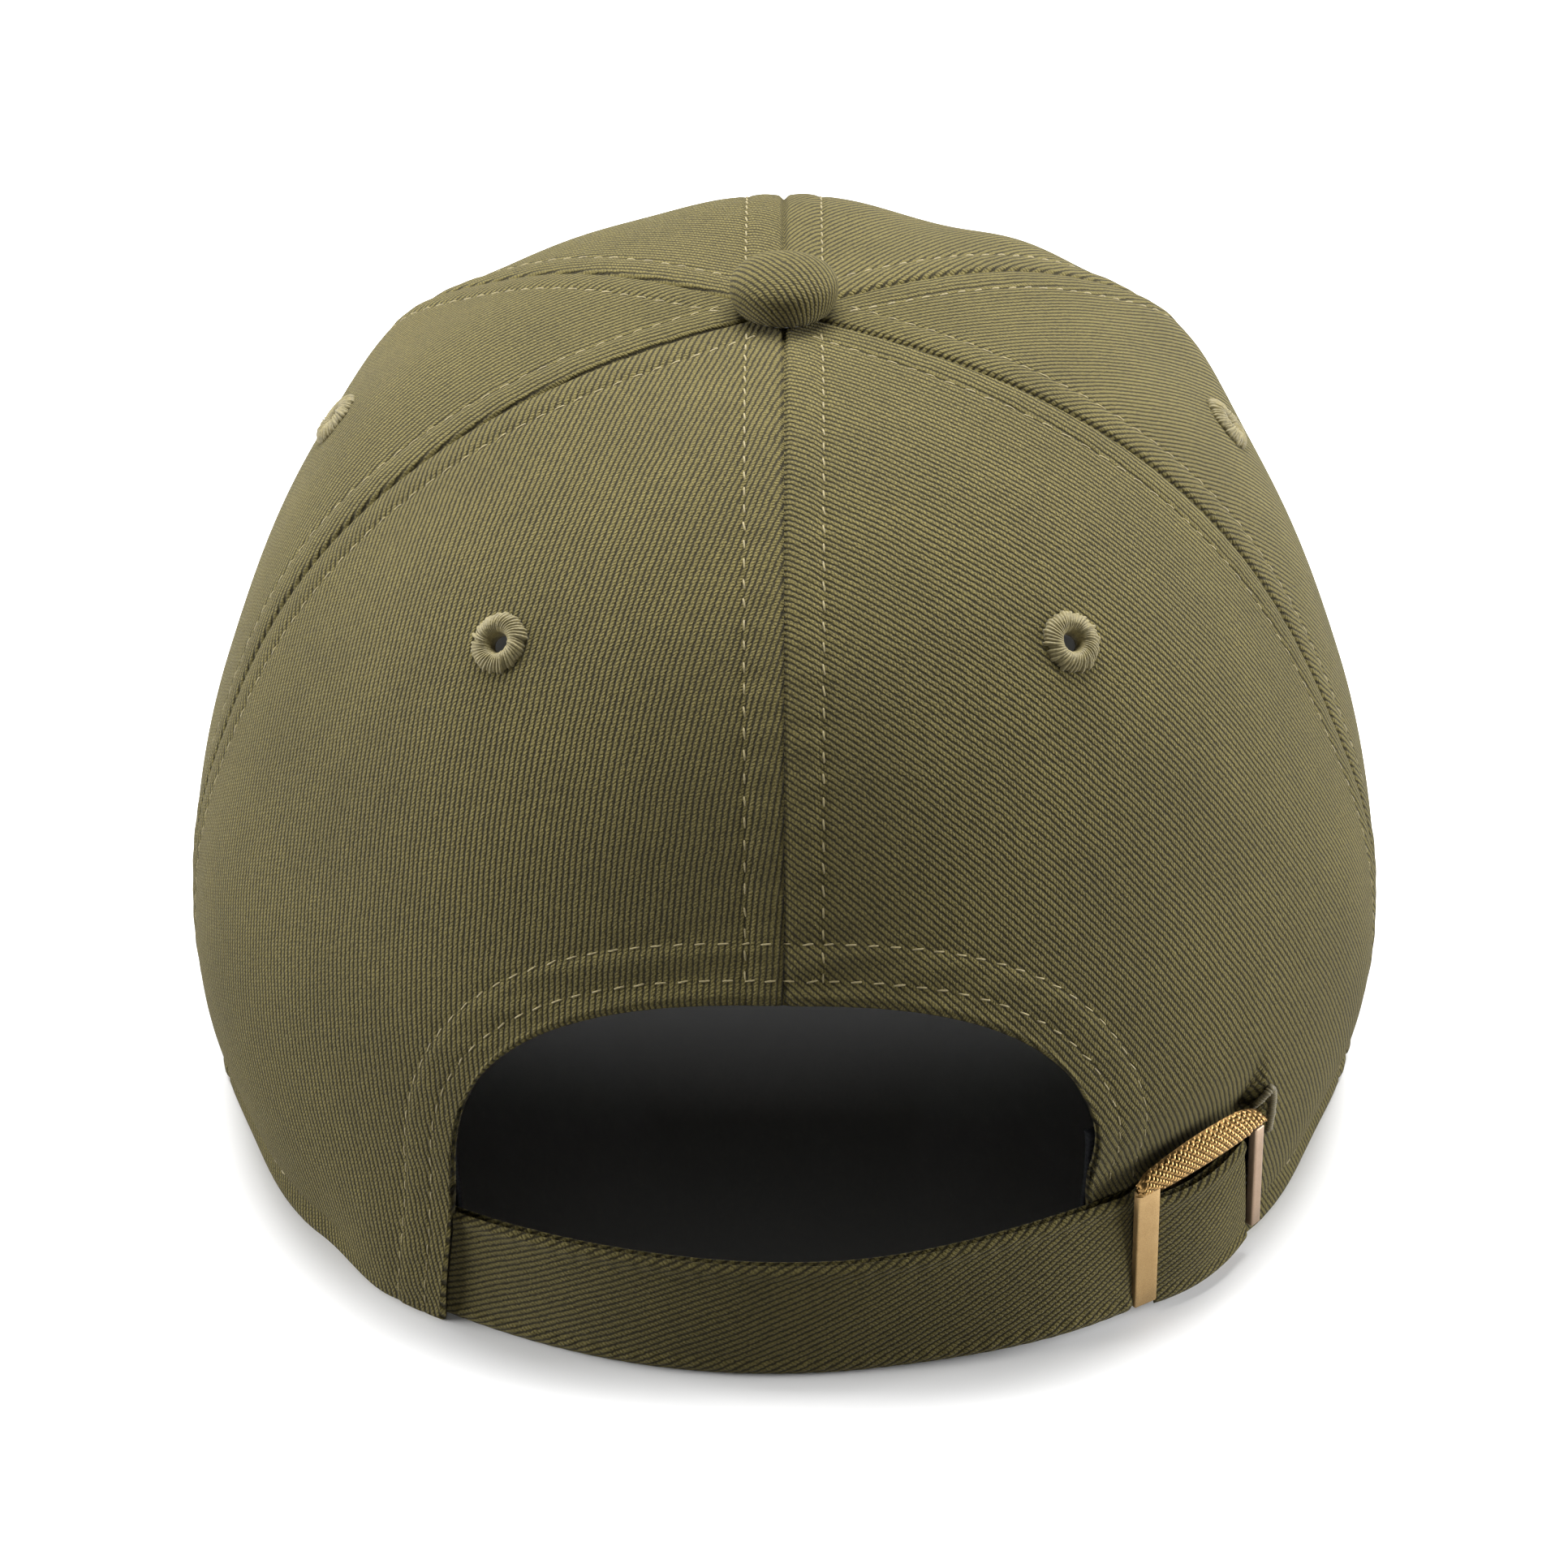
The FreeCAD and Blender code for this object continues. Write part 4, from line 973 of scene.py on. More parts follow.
# %% Embroidered eyelets
def sew_eyelet(name, threads=44, steps=6):
    """A ring of radial satin stitches round a hole."""
    centre = eyelet_place(name)
    hub = math.degrees(math.atan2(centre[0], centre[1] - 4.0))
    near_direction, near_distance = np.meshgrid(np.linspace(hub - 14, hub + 14, 57),
                                                np.linspace(55, 90, 71))
    near, near_normal = crown_surface(near_direction, near_distance)
    best = np.unravel_index(np.linalg.norm(near - centre, axis=-1).argmin(), near_direction.shape)
    centre, facing = near[best], near_normal[best]
    across = np.cross(facing, [0.0, 0.0, 1.0])
    across /= np.linalg.norm(across)
    upward = np.cross(across, facing)
    radius = np.array([1.3, 1.35, 1.55, 1.95, 2.5, 3.1, 3.7, 4.15, 4.3, 3.6, 2.4, 1.5])
    height = np.array([-1.5, -0.5, 0.35, 0.85, 1.05, 0.98, 0.66, 0.22, -0.35, -0.7, -1.0, -1.7])
    columns = threads * steps
    turn = np.arange(columns) / columns * 2 * np.pi
    ridge = np.abs(np.sin(np.pi * np.arange(columns) / steps)) ** 0.7
    thread = np.arange(columns) // steps
    reach_out = RANDOM.normal(0.0, 0.16, threads)[thread]
    proud = RANDOM.normal(0.0, 0.07, threads)[thread]
    outer = np.clip((radius - 2.4) / 1.8, 0.0, 1.0)
    top = np.where(height > -0.6, 1.0, 0.0)
    ring = radius[None, :] + outer[None, :] * reach_out[:, None] + 0.1 * top * (ridge[:, None] - 0.5)
    lift = height[None, :] + top * (0.24 * (ridge[:, None] - 0.6) + proud[:, None])
    swirl = turn[:, None] + 0.11 * (radius[None, :] - 1.3)
    points = centre + facing * lift[..., None] + across * (ring * np.cos(swirl))[..., None]
    points = points + upward * (ring * np.sin(swirl))[..., None]
    size = len(radius)
    number = np.arange(columns * size).reshape(columns, size)
    right, down = np.roll(number, -1, 0), np.roll(number, -1, 1)
    faces = np.stack([number, right, np.roll(right, -1, 1), down], -1).reshape(-1, 4)
    piece = make_object(name + "_embroidery", points.reshape(-1, 3), faces, EYELET_THREAD)
    recalculate(piece)
    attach(piece, "cap")
    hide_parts(name)


for panel in PANEL_SEAMS:
    sew_eyelet(panel + "_eyelet")
print("6 eyelets")

# %% [markdown]
# ## Button
#
# The button is a flat metal dome covered with a disc of the same twill, gathered under its
# edge, and it sits in a small dark dip where the six seams meet.


# %% Covered button
def cover_button():
    """The twill cover as a closed flattened dome with its own cloth map."""
    radius, half_height = 7.7, 3.9
    middle = CROWN_TOP + 3.6
    around, down = 144, 60
    turn = np.linspace(0.0, 2 * np.pi, around, endpoint=False)[:, None]
    fall = np.linspace(0.02, np.pi - 0.25, down)[None, :]
    flat = np.abs(np.sin(fall)) ** np.where(fall < np.pi / 2, 0.92, 0.3)
    pleat = 0.16 * np.sin(22 * turn + 1.5 * np.sin(3 * turn)) * ease(fall, 1.9, 2.7)
    ring = radius * flat + pleat
    z = middle + half_height * np.sign(np.cos(fall)) * np.abs(np.cos(fall)) ** 0.85 + 0.0 * turn
    points = np.stack([ring * np.sin(turn), ring * np.cos(turn), z], -1)
    along = np.concatenate([[0.0], np.cumsum(np.hypot(np.diff(radius * flat[0]), np.diff(z[0])))])
    uv = np.stack([-along[None, :] * np.sin(turn), -along[None, :] * np.cos(turn)], -1)
    number = np.arange(around * down).reshape(around, down)
    right = np.roll(number, -1, 0)
    faces = np.stack([number[:, :-1], right[:, :-1], right[:, 1:], number[:, 1:]], -1)
    faces = faces.reshape(-1, 4)
    caps = []
    points, uv = points.reshape(-1, 3), uv.reshape(-1, 2)
    poles = np.array([[0.0, 0.0, z[0, 0]], [0.0, 0.0, z[0, -1]]])
    for pole, column in ((len(points), 0), (len(points) + 1, down - 1)):
        ring_numbers = number[:, column]
        for k in range(0, around, 2):
            caps.append((pole, ring_numbers[k], ring_numbers[k + 1], ring_numbers[(k + 2) % around]))
    points = np.concatenate([points, poles])
    uv = np.concatenate([uv, [[0.0, 0.0], [0.0, -along[-1]]]])
    faces = np.concatenate([faces, np.array(caps)])
    piece = make_object("button_twill", points, faces, TWILLS["button"], uv)
    recalculate(piece)
    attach(piece, "cap")
    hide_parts("button_cover")


def shape_shell():
    """The steel dome inside the cover: a sphere flattened, cut level and given its wall."""
    bpy.ops.object.select_all(action="DESELECT")
    centre = np.array([0.0, 0.0, CROWN_TOP + 3.7]) * MM
    bpy.ops.mesh.primitive_uv_sphere_add(segments=64, ring_count=32, radius=6.7 * MM, location=centre)
    dome = bpy.context.object
    dome.name = "button_shell_dome"
    dome.scale = (1.0, 1.0, 0.46)
    bpy.ops.object.transform_apply(location=True, rotation=True, scale=True)
    cut_at = (0.0, 0.0, centre[2] - 1.6 * MM)
    edit_mesh(dome, lambda: bpy.ops.mesh.bisect(plane_co=cut_at, plane_no=(0, 0, 1),
                                                clear_inner=True))
    wall = dome.modifiers.new("wall", "SOLIDIFY")
    wall.thickness, wall.offset = 0.5 * MM, -1.0
    bpy.ops.object.modifier_apply(modifier="wall")
    bpy.ops.object.shade_smooth_by_angle(angle=math.radians(40.0))
    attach(dome, "cap")
    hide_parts("button_shell")
    return dome


cover_button()
SHELL_DOME = shape_shell()
print("button: a twill cover over", SHELL_DOME.name)

# %% [markdown]
# ## Strap
#
# The strap is a folded length of twill: an outer and an inner ply whose edges are turned in,
# so a dark groove runs along its top between two soft edges. It leaves from behind the left
# hem, crosses the arch and goes under the buckle's first bar. It slides round the rim's own
# circle, so it is made on that circle and rides on the strap body.

# %% Strap plies
STRAP_WIDTH = STRAP_HIGH - STRAP_LOW
STRAP_RADIUS = 86.1
PLY = 0.95


def strap_lift(direction):
    """Height of the strap's lower edge: it rests on the ground in the middle."""
    return 0.25 + 1.7 * ease(-direction, 4.0, 33.0)


def strap_place(direction, share, inset):
    """A point on the strap; share counts up its width."""
    lean = 1.9 * ease(-direction, 8.0, 30.0) * (1.0 - share)
    tucked = ease(-direction, 33.0, 39.0)
    radius = STRAP_RADIUS + lean - inset - tucked * (lean + 3.4 - 2.6 * share)
    radius = radius - 1.6 * ease(direction, 36.0, 42.0)
    radius = radius + 0.2 * np.sin(np.radians(direction) * 9.0 + share * 2.0)
    z = strap_lift(direction) + STRAP_WIDTH * share
    turn = np.radians(direction)
    return np.stack([radius * np.sin(turn), STRAP_CENTRE_Y + radius * np.cos(turn), z], -1)


def make_ply(name, inset, top_share, node, bow):
    """One ply with its edges turned in."""
    directions = np.linspace(54.0, -45.0, 360)[:, None]
    tucked = inset + 4.0 * ease(directions, 35.0, 47.0) + 1.6 * ease(-directions, 33.0, 37.5)
    shares = clustered(60, 0.36)[None, :] * top_share
    edge = np.minimum(shares, top_share - shares) * STRAP_WIDTH
    rounding = 0.42 * np.exp(-(edge / 0.5) ** 2)
    plump = 0.16 * bell(edge - 1.1, 1.0) - 0.1 * bell(edge - 2.6, 0.7)
    ripple = 0.05 * np.sin(np.radians(directions) * 84.0 / 2.9 * 2 * np.pi) * bell(edge - 1.3, 1.5)
    wave = bow * np.exp(-(edge / 2.0) ** 2)
    front = strap_place(directions, shares, tucked + rounding - plump - ripple - wave)
    back = strap_place(directions, shares, tucked + PLY - rounding + 0.4 * plump - wave)
    uv = np.stack([np.radians(directions) * 85.5 + 0.0 * shares,
                   shares * STRAP_WIDTH + 0.0 * directions], -1)
    piece = cloth_shell(name, front, back, uv, TWILLS["strap"])
    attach(piece, "strap")
    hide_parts(node)


make_ply("strap_outer_cloth", 0.0, 1.0, "strap_outer_ply", 0.15)
make_ply("strap_inner_cloth", PLY + 0.12, 0.985, "strap_inner_ply", -0.2)

# %% [markdown]
# ## Buckle
#
# The slide buckle is one die-cast piece in antique brass. Its top rail is knurled, the bar
# over the strap is plain and blasted to a fine matt grain, and the side plate has a paler,
# rosier finish. The front bar, the plate, the lower rail and the middle bar each start as a
# block on a flat bench, are bevelled and subdivided, and are then wrapped round the strap's
# circle. The top rail starts as a grid and is wrapped the same way.


# %% Brass finishes
def metal_material(name, colour, dark, grain, roughness, bump_depth):
    """Plated and blasted metal: a fine grain, darker in its pits, worn bright on edges."""
    material, shader = new_material(name)
    place = add_node(material, "ShaderNodeTexCoord")
    pits = add_node(material, "ShaderNodeTexNoise", Vector=place.outputs["Object"], Scale=grain,
                    Detail=4.0, Roughness=0.7)
    tarnish = add_node(material, "ShaderNodeTexNoise", Vector=place.outputs["Object"], Scale=350.0,
                       Detail=3.0)
    shape = add_node(material, "ShaderNodeNewGeometry")
    worn = add_node(material, "ShaderNodeMapRange", Value=shape.outputs["Pointiness"], From_Min=0.44,
                    From_Max=0.54)
    speck = add_node(material, "ShaderNodeMapRange", Value=pits.outputs["Fac"], From_Min=0.35,
                     From_Max=0.6, To_Min=0.45, To_Max=1.0)
    share = add_node(material, "ShaderNodeMath", {"operation": "MULTIPLY"}, _0=worn.outputs["Result"],
                     _1=speck.outputs["Result"])
    mixed = add_node(material, "ShaderNodeMix", {"data_type": "RGBA"}, Factor=share.outputs[0],
                     _6=linear(dark), _7=linear(colour))
    soft = add_node(material, "ShaderNodeMapRange", Value=tarnish.outputs["Fac"], From_Min=0.35,
                    From_Max=0.65, To_Min=roughness - 0.06, To_Max=roughness + 0.08)
    bump = add_node(material, "ShaderNodeBump", Strength=0.7, Distance=bump_depth * MM,
                    Height=pits.outputs["Fac"])
    links = material.node_tree.links
    links.new(mixed.outputs[2], shader.inputs["Base Color"])
    links.new(soft.outputs["Result"], shader.inputs["Roughness"])
    links.new(bump.outputs["Normal"], shader.inputs["Normal"])
    shader.inputs["Metallic"].default_value = 1.0
    return material


BRASS = metal_material("antique_brass_blasted", "#a08861", "#755c39", 6000.0, 0.55, 0.08)
KNURLED = metal_material("antique_brass_knurled", "#a18050", "#35260f", 2500.0, 0.34, 0.02)
ROSE_PLATE = metal_material("rose_brass_satin", "#8f7c69", "#786555", 5000.0, 0.5, 0.03)
STEEL = metal_material("zinc_plated_steel", "#b9bcc0", "#83868a", 1500.0, 0.38, 0.02)
print("metals:", [item.name for item in (BRASS, KNURLED, ROSE_PLATE, STEEL)])

# %% Blocks and wrapping
WRAP_RADIUS = 87.9


def bench_block(name, start, end, bevel, cuts=5):
    """A bevelled block between two corners on the bench, in millimetres."""
    start, end = np.array(start), np.array(end)
    bpy.ops.object.select_all(action="DESELECT")
    bpy.ops.mesh.primitive_cube_add(size=1.0, location=(start + end) / 2 * MM, scale=(end - start) * MM)
    block = bpy.context.object
    block.name = name
    bpy.ops.object.transform_apply(location=True, rotation=True, scale=True)
    rounding = block.modifiers.new("edges", "BEVEL")
    rounding.width, rounding.segments = bevel * MM, 3
    bpy.ops.object.modifier_apply(modifier="edges")
    edit_mesh(block, lambda: bpy.ops.mesh.subdivide(number_cuts=cuts))
    return block


def points_of(piece):
    flat = np.zeros(len(piece.data.vertices) * 3)
    piece.data.vertices.foreach_get("co", flat)
    return flat.reshape(-1, 3) / MM


def set_points(piece, points):
    piece.data.vertices.foreach_set("co", (np.asarray(points) * MM).ravel())
    piece.data.update()


def wrap(piece):
    """Bends a piece from the bench round the strap: x along it, y outwards, z up."""
    points = points_of(piece)
    turn = np.radians(BUCKLE_DIRECTION) - points[:, 0] / WRAP_RADIUS
    radius = WRAP_RADIUS + points[:, 1]
    set_points(piece, np.stack([radius * np.sin(turn), STRAP_CENTRE_Y + radius * np.cos(turn),
                                points[:, 2]], -1))
    recalculate(piece)


def finish_brass(piece, material, replaced=None):
    wrap(piece)
    piece.data.materials.clear()
    piece.data.materials.append(material)
    bpy.ops.object.shade_smooth_by_angle(angle=math.radians(35.0))
    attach(piece, "cap")
    if replaced:
        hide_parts(replaced)
    return piece


# %% Bar, plate, lower rail and middle bar
BAR = (-12.85, -9.0)
PLATE = (10.5, 12.5)


def rail_line(x):
    """Height of the top rail's lower edge: it climbs towards the plate."""
    return 21.4 + 0.075 * x


front_bar = bench_block("buckle_front_bar", (BAR[0], -0.9, 2.1),
                        (BAR[1], 0.35, rail_line(-11.0) + 1.0), 0.22)
finish_brass(front_bar, BRASS, "buckle_frame")
side_plate = bench_block("buckle_side_plate", (PLATE[0], -1.3, 5.0),
                         (PLATE[1], 0.1, rail_line(11.5) - 0.6), 0.3)
finish_brass(side_plate, ROSE_PLATE)
lower_rail = bench_block("buckle_lower_rail", (BAR[0], -2.4, 2.0), (PLATE[1] - 3.0, -0.9, 3.3), 0.3, 9)
finish_brass(lower_rail, BRASS)
middle_bar = bench_block("buckle_middle_bar", (-3.0, -5.2, 1.0), (1.6, -4.3, rail_line(0.0) + 1.0), 0.25)
finish_brass(middle_bar, BRASS)


# %% Knurled top rail
def knurl_rail():
    """The convex top rail: a grid given its outline, its round front and rows of small pyramids."""
    columns, rows, pitch = 230, 44, 1.15
    bpy.ops.object.select_all(action="DESELECT")
    bpy.ops.mesh.primitive_grid_add(x_subdivisions=columns, y_subdivisions=rows, size=1.0)
    rail = bpy.context.object
    rail.name = "buckle_knurled_rail"
    points = points_of(rail) * MM
    along, up = points[:, 0] + 0.5, points[:, 1] + 0.5
    x = BAR[0] - 0.1 + (PLATE[1] - BAR[0] - 0.6) * along
    end_round = 0.9 * (np.exp(-(along / 0.03) ** 2) + np.exp(-((1.0 - along) / 0.03) ** 2))
    step = 0.5 * (ease(x, -8.9, -8.5) - ease(x, 8.3, 8.7))
    low_edge = rail_line(x) - step + 0.3 * end_round
    arched = np.sin(np.pi * np.clip(along, 0.0, 1.0)) ** 0.7
    high_edge = rail_line(x) + 3.2 + 2.5 * arched - end_round - 1.2 * ease(x, 6.0, 13.0)
    z = low_edge + (high_edge - low_edge) * up
    crown = 1.7 * np.sqrt(np.clip(1.0 - (2.0 * up - 1.0) ** 2 * 0.9, 0.0, 1.0))
    ends = np.clip(np.minimum(along, 1.0 - along) / 0.012, 0.0, 1.0)
    across = z - high_edge
    grooves = np.sin(np.pi * (x + across) / pitch) * np.sin(np.pi * (x - across) / pitch)
    grooves = np.abs(grooves) ** 0.5
    knurled = ease(up, 0.13, 0.17) * np.clip((1.0 - up) / 0.07, 0.0, 1.0)
    outward = crown * (0.6 + 0.4 * ends) - 0.75 + 0.42 * (grooves - 0.5) * knurled
    set_points(rail, np.stack([x, outward, z], -1))
    thick = rail.modifiers.new("body", "SOLIDIFY")
    thick.thickness, thick.offset = 0.9 * MM, 1.0
    bpy.ops.object.modifier_apply(modifier="body")
    finish_brass(rail, KNURLED)
    return rail


knurl_rail()
print("buckle: bar, plate, two rails and a middle bar")

# %% [markdown]
# Between the bar and the plate the strap bulges forward over the middle bar before it turns
# in through the slot. Its shape stays put while the cloth slides through, so it rides on the
# cap. The little tab that holds the middle bar is not made; its part is hidden.


# %% Bulge over the middle bar
def make_bulge(name, inset, top_drop, bow):
    """One ply of the bulge between the bar and the plate."""
    directions = np.linspace(-36.4, -49.6, 90)[:, None]
    share = clustered(60, 0.36)[None, :]
    along = (-directions - 36.4) / 13.2
    low_edge = 1.2 + 2.6 * along ** 2.2
    high_edge = 18.3 + 2.1 * along ** 1.4 - 0.4 * np.sin(along * np.pi) - top_drop
    z = low_edge + (high_edge - low_edge) * share
    edge = np.minimum(share, 1.0 - share) * 18.0
    rounding = 0.45 * np.exp(-(edge / 0.55) ** 2)
    plump = 0.2 * bell(edge - 1.1, 1.0) - 0.1 * bell(edge - 2.8, 0.8)
    wave = bow * np.exp(-(edge / 2.0) ** 2)
    swell = 1.9 * np.sin(np.pi * np.clip(along * 0.93 + 0.1, 0, 1))
    swell = swell * np.sin(np.pi * (0.2 + 0.6 * (1 - share)))
    turn_in = 2.6 * ease(along, 0.9, 1.0)
    base = 86.7 + 0.9 * (1.0 - share) + swell - turn_in
    front = base - inset - rounding + plump + wave
    back = base - inset - PLY + rounding - 0.3 * plump + wave
    turn = np.radians(directions) + 0.0 * share

    def place(radius):
        return np.stack([radius * np.sin(turn), STRAP_CENTRE_Y + radius * np.cos(turn),
                         z + 0.0 * turn], -1)

    uv = np.stack([np.degrees(turn) * 1.53, share * 18.2 + 0.0 * turn], -1)
    piece = cloth_shell(name, place(front), place(back), uv, TWILLS["strap"])
    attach(piece, "cap")
    return piece


tab = make_bulge("strap_bulge_outer", 0.0, 0.0, 0.2)
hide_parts("buckle_tab")
make_bulge("strap_bulge_inner", PLY + 0.1, 0.5, -0.35)


# %% Bound slot
def bound_edge(name, path, facing, radius, thread_pitch, node):
    """A cord of satin stitches wrapped round a line of points."""
    path = np.asarray(path, float)
    gaps = np.linalg.norm(np.diff(path, axis=0), axis=1)
    along = np.concatenate([[0.0], np.cumsum(gaps)])
    count = int(along[-1] / thread_pitch) * 5
    places = np.linspace(0.0, along[-1], count)
    line = np.stack([np.interp(places, along, path[:, k]) for k in range(3)], -1)
    tangent = np.gradient(line, axis=0)
    tangent /= np.linalg.norm(tangent, axis=1, keepdims=True)
    side = np.cross(tangent, facing)
    side /= np.linalg.norm(side, axis=1, keepdims=True)
    out = np.cross(side, tangent)
    thread = np.arange(count) // 5
    ridge = np.abs(np.sin(np.pi * np.arange(count) / 5)) ** 0.7
    size = radius * (0.86 + 0.24 * ridge + RANDOM.normal(0.0, 0.05, thread.max() + 1)[thread])
    size *= np.clip(np.minimum(np.arange(count), count - 1 - np.arange(count)) / 5.0, 0.3, 1.0)
    sides = 14
    turn = np.arange(sides) / sides * 2 * np.pi
    rings = line[:, None] + side[:, None] * (size[:, None] * np.cos(turn))[..., None]
    rings = rings + out[:, None] * (0.8 * size[:, None] * np.sin(turn))[..., None]
    points = np.concatenate([rings.reshape(-1, 3), line[:1], line[-1:]])
    piece = make_object(name, points, tube_faces(count, sides), SLOT_THREAD)
    recalculate(piece)
    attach(piece, "cap")
    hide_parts(node)


slot_directions = np.array([-49.9, -50.2, -50.7, -51.2, -51.55, -51.75, -51.8, -51.8])
slot_heights = np.array([24.0, 25.2, 26.6, 27.3, 26.5, 24.6, 22.0, 19.0])
slot_inset = np.array([1.6, 0.5, -0.3, -0.5, -0.5, -0.4, -0.3, -0.2])
slot_points, _ = crown_surface(np.full(8, -54.0), distance_at(slot_heights))
slot_radius = np.hypot(slot_points[:, 0], slot_points[:, 1] - STRAP_CENTRE_Y) - slot_inset
slot_turn = np.radians(slot_directions)
slot_path = np.stack([slot_radius * np.sin(slot_turn), STRAP_CENTRE_Y + slot_radius * np.cos(slot_turn),
                      slot_heights], -1)
slot_facing = np.array([math.sin(slot_turn[3]), math.cos(slot_turn[3]), 0.2])
bound_edge("slot_satin_edge", slot_path, slot_facing, 0.6, 0.42, "tuck_slot_stitching")
print("bulge over the middle bar, and the slot's bound edge")

# %% [markdown]
# ## Inside
#
# Inside, the two front panels are backed with black buckram, black tape covers every seam
# allowance, a black facing backs the arch, and a ribbed sweatband runs round the rim. Each
# lies a layer further in than the shell, and all but the sweatband follow the shell's relief.


# %% Lining, tapes and facing
def inner_layer(name, direction, distance, inset, thick, material, node):
    """A cloth layer inside the crown, at a set depth under the outside."""
    outer, normals = crown_surface(direction, distance, inset)
    inner = outer - normals * thick
    across = np.radians(direction - direction.mean()) * radius_at(distance)
    uv = np.stack([across, -distance], -1)
    piece = cloth_shell(name, outer, inner, uv, material)
    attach(piece, "cap")
    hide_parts(node)


def buckram(side):
    """A front panel's backing, seam to seam and down to the rim."""
    name = "left" if side > 0 else "right"
    share = np.linspace(0.02, 0.98, 70)[None, :]
    climb = np.linspace(0.0, 1.0, 90)[:, None]
    rim_directions = side * (FRONT_SEAM[1] + (180.0 - FRONT_SEAM[1]) * share)
    lower = rim_distance(rim_directions) - 3.0
    distance = lower + (9.0 - lower) * climb
    seam = seam_direction(FRONT_SEAM, distance)
    direction = side * (seam + (180.0 - seam) * share)
    inner_layer("front_buckram_" + name, direction, distance, 1.3, 0.5, LINING_CLOTH,
                "front_lining_" + name)


buckram(1.0)
buckram(-1.0)


def tape(seam):
    """Folded tape over a seam's allowance, with a slight crown across it."""
    node = "seam_tape_" + seam
    middle = SEAMS[seam]
    if seam == "rear":
        end = float(distance_at(ARCH_TOP)) - 2.0
    else:
        rim = seam_direction(middle, RIM_DISTANCE)
        end = float(rim_distance(np.array([rim]))[0]) - 3.0
    distance = np.linspace(10.0, end, 160)[:, None] + np.zeros((1, 15))
    offset = np.linspace(-6.0, 6.0, 15)[None, :]
    direction = seam_direction(middle, distance) + np.degrees(offset / radius_at(distance))
    crown = 2.5 + 0.35 * bell(np.abs(offset) - 3.0, 2.0) + 0.0 * distance
    outer, normals = crown_surface(direction, distance, 0.0)
    outer = outer - normals * crown[..., None]
    inner = outer - normals * 0.45
    uv = np.stack([offset + 0.0 * distance, -distance], -1)
    piece = cloth_shell("tape_" + seam, outer, inner, uv, TAPE_CLOTH)
    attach(piece, "cap")
    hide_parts(node)


for seam_name in SEAMS:
    tape(seam_name)


def face_arch():
    """The facing that backs the arch: a band that follows its edge."""
    lines = []
    for sign, (around, up) in FLAT_ARCH.items():
        step_around, step_up = np.gradient(around), np.gradient(up)
        size = np.hypot(step_around, step_up)
        keep = up > 24.0
        line = np.stack([sign * around, up, -sign * step_up / size, step_around / size], -1)[keep]
        lines.append(line[::-1] if sign > 0 else line[1:])
    around, up, out_around, out_up = np.concatenate(lines).T[..., None]
    offsets = np.linspace(0.9, 9.5, 12)[None, :]
    z = up + out_up * offsets
    direction = np.degrees((around + out_around * offsets) / reach(RIM_HALF_WIDTH, *SIDE_POWERS, z))
    inner_layer("arch_facing_tape", direction, distance_at(z), 1.35, 0.5, TAPE_CLOTH, "arch_facing")


face_arch()


# %% Sweatband
def make_sweatband():
    """A ribbed band round the inside of the rim, from one side of the arch to the other."""
    direction = np.linspace(34.6, 328.9, 620)[:, None] + np.zeros((1, 34))
    share = np.linspace(0.0, 1.0, 34)[None, :] + 0.0 * direction
    up = 1.5 + 28.5 * share
    distance = rim_distance(direction) - up
    inset = 5.9 + 1.3 * share + 0.35 * np.sin(np.radians(direction) * 13.0) * share
    ends = bell(direction - 34.6, 4.0) + bell(direction - 328.9, 4.0)
    inset = inset - 1.3 * ends * share
    rolled = 0.5 * bell((1.0 - share) * 28.5, 1.2) + 0.5 * bell(share * 28.5, 1.2)
    outer, normals = crown_surface((direction + 180.0) % 360.0 - 180.0, distance, 0.0, relief=False)
    inner = outer - normals * (inset + 0.9 + rolled)[..., None]
    outer = outer - normals * (inset - 0.2 * rolled)[..., None]
    uv = np.stack([np.radians(direction) * 88.0, up], -1)
    piece = cloth_shell("sweatband_ribbed", outer, inner, uv, SWEATBAND_CLOTH)
    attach(piece, "cap")
    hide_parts("sweatband")


make_sweatband()

# %% [markdown]
# ## Visor
#
# A curved plastic board is held between two twill covers, sewn together along the outer
# edge and through by rows of stitches that follow it. The covers are grids that run from the
# crown's rim to the outer edge, with a shallow groove at each row.

# %% Visor covers
VISOR_HALF_WIDTH = 88.6
VISOR_WIDEST = -62.0
VISOR_TIP = low("visor_board")[1] - 1.5
VISOR_ROWS = (1.6, 8.0, 14.5, 21.0, 27.5, 34.0, 40.5, 47.0)


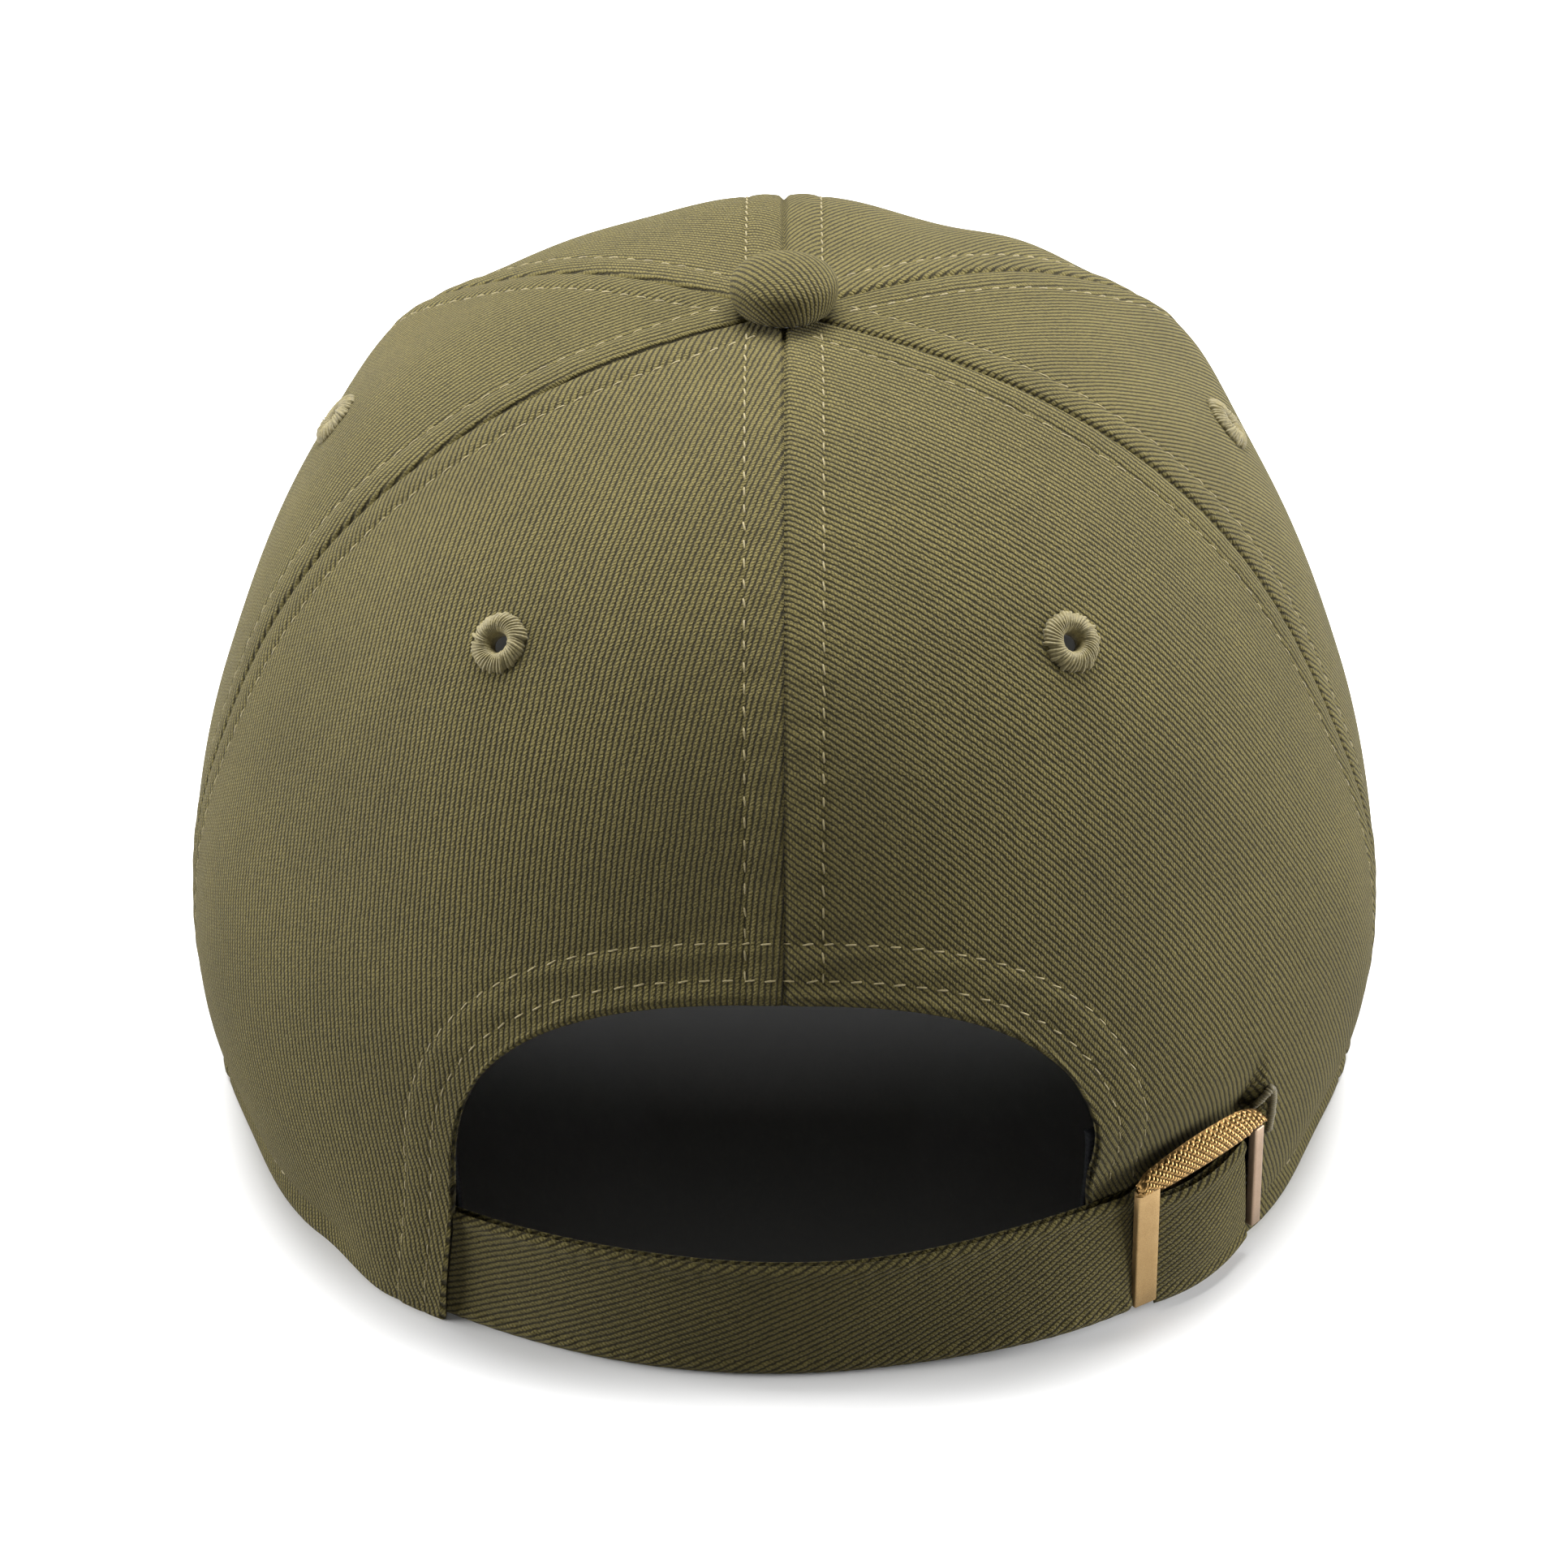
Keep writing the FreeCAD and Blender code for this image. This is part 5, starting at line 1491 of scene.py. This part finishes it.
def visor_grid(columns=300, rows=110):
    """Plan positions from the rim to the outer edge, and each point's distance from that edge."""
    turn = np.linspace(0.0, np.pi, 400)
    edge_x = VISOR_HALF_WIDTH * np.sign(np.cos(turn)) * np.abs(np.cos(turn)) ** (2.0 / 2.3)
    edge_y = VISOR_WIDEST - (VISOR_WIDEST - VISOR_TIP) * np.abs(np.sin(turn)) ** (2.0 / 2.3)
    rim = outline(np.linspace(60.0, 300.0, 1200), np.zeros(1200))
    rim = rim[rim[:, 1] < VISOR_END]
    behind = np.linspace(22.5, 1.5, 12)
    corner_x = VISOR_HALF_WIDTH - 0.0404 * behind ** 1.77
    edge_x = np.concatenate([corner_x, edge_x, -corner_x[::-1]])
    edge_y = np.concatenate([VISOR_WIDEST + behind, edge_y, VISOR_WIDEST + behind[::-1]])
    along = np.concatenate([[0.0], np.cumsum(np.hypot(np.diff(edge_x), np.diff(edge_y)))])
    stops = np.linspace(0.0, along[-1], columns)
    outer = np.stack([np.interp(stops, along, edge_x), np.interp(stops, along, edge_y)], -1)
    rim_along = np.concatenate([[0.0], np.cumsum(np.hypot(*np.diff(rim[:, :2], axis=0).T))])
    rim_stops = np.linspace(0.0, rim_along[-1], columns)
    inner = np.stack([np.interp(rim_stops, rim_along, rim[:, k]) for k in (0, 1)], -1)
    share = 1.0 - (1.0 - np.linspace(0.0, 1.0, rows)) ** 1.25
    plan = inner[None] + (outer - inner)[None] * share[:, None, None]
    gap = np.full(plan.shape[:2], 999.0)
    for x, y in zip(edge_x[::2], edge_y[::2]):
        gap = np.minimum(gap, np.hypot(plan[..., 0] - x, plan[..., 1] - y))
    return plan, gap


VISOR_PLAN, VISOR_GAP = visor_grid()


def cover_surface(lift):
    """The visor's curved sheet at a height over the board's middle, with its row grooves."""
    x, y = VISOR_PLAN[..., 0], VISOR_PLAN[..., 1]
    groove = sum(bell(VISOR_GAP - row, 0.6) for row in VISOR_ROWS)
    pillow = 0.14 * np.cos(2 * np.pi * (VISOR_GAP - VISOR_ROWS[1]) / 6.5 + np.pi)
    stand = 0.22 * (pillow - groove) - 0.9 * np.exp(-(VISOR_GAP / 0.9) ** 2)
    z = visor_height(x, y, lift + np.sign(lift) * stand)
    return np.stack([x, y, z], -1)


def cover_visor(name, outside, inside, node):
    """One cover of the visor, between its outside and its inside."""
    uv = VISOR_PLAN * np.array([-1.0, -1.0])
    piece = cloth_shell(name, cover_surface(outside), cover_surface(inside), uv, TWILLS["visor"])
    recalculate(piece)
    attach(piece, "cap")
    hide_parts(node)


cover_visor("visor_top_twill", 2.0, 1.06, "visor_top_cover")
cover_visor("visor_under_twill", -2.0, -1.06, "visor_under_cover")


def visor_row(offset, lift):
    """A row of stitches a set way in from the visor's edge."""
    points = cover_surface(lift)
    line, normals = [], []
    for column in range(VISOR_PLAN.shape[1]):
        gap = VISOR_GAP[:, column]
        if gap.max() < offset + 1.0:
            continue
        row = int(np.argmax(gap[::-1] > offset))
        line.append(points[len(gap) - 1 - row, column])
        normals.append([0.0, 0.0, np.sign(lift)])
    line = np.array(line)
    for _ in range(6):
        line[1:-1] = (line[:-2] + 2 * line[1:-1] + line[2:]) / 4
    return sew_row(line, np.array(normals))


for cover, lift in (("top", 2.05), ("under", -2.05)):
    sew_rows("visor_%s_stitching" % cover, [visor_row(offset, lift) for offset in VISOR_ROWS])


# %% Finish the hidden hard parts
def board_material():
    """Moulded polyethylene: waxy, slightly uneven, dark grey."""
    material, shader = new_material("moulded_polyethylene_board")
    place = add_node(material, "ShaderNodeTexCoord")
    cloud = add_node(material, "ShaderNodeTexNoise", Vector=place.outputs["Object"], Scale=120.0,
                     Detail=4.0)
    tone = add_node(material, "ShaderNodeMix", {"data_type": "RGBA"}, Factor=cloud.outputs["Fac"],
                    _6=linear("#2c2d2e"), _7=linear("#242526"))
    bump = add_node(material, "ShaderNodeBump", Strength=0.4, Distance=0.05 * MM,
                    Height=cloud.outputs["Fac"])
    material.node_tree.links.new(tone.outputs[2], shader.inputs["Base Color"])
    material.node_tree.links.new(bump.outputs["Normal"], shader.inputs["Normal"])
    shader.inputs["Roughness"].default_value = 0.45
    return material


SHELL_DOME.data.materials.append(STEEL)
HIDDEN = {"visor_board": board_material(), "button_rivet": STEEL, "button_washer": STEEL}
for node, material in HIDDEN.items():
    frame["nodes"][node].data.materials.clear()
    frame["nodes"][node].data.materials.append(material)
print("finished", sorted(HIDDEN))
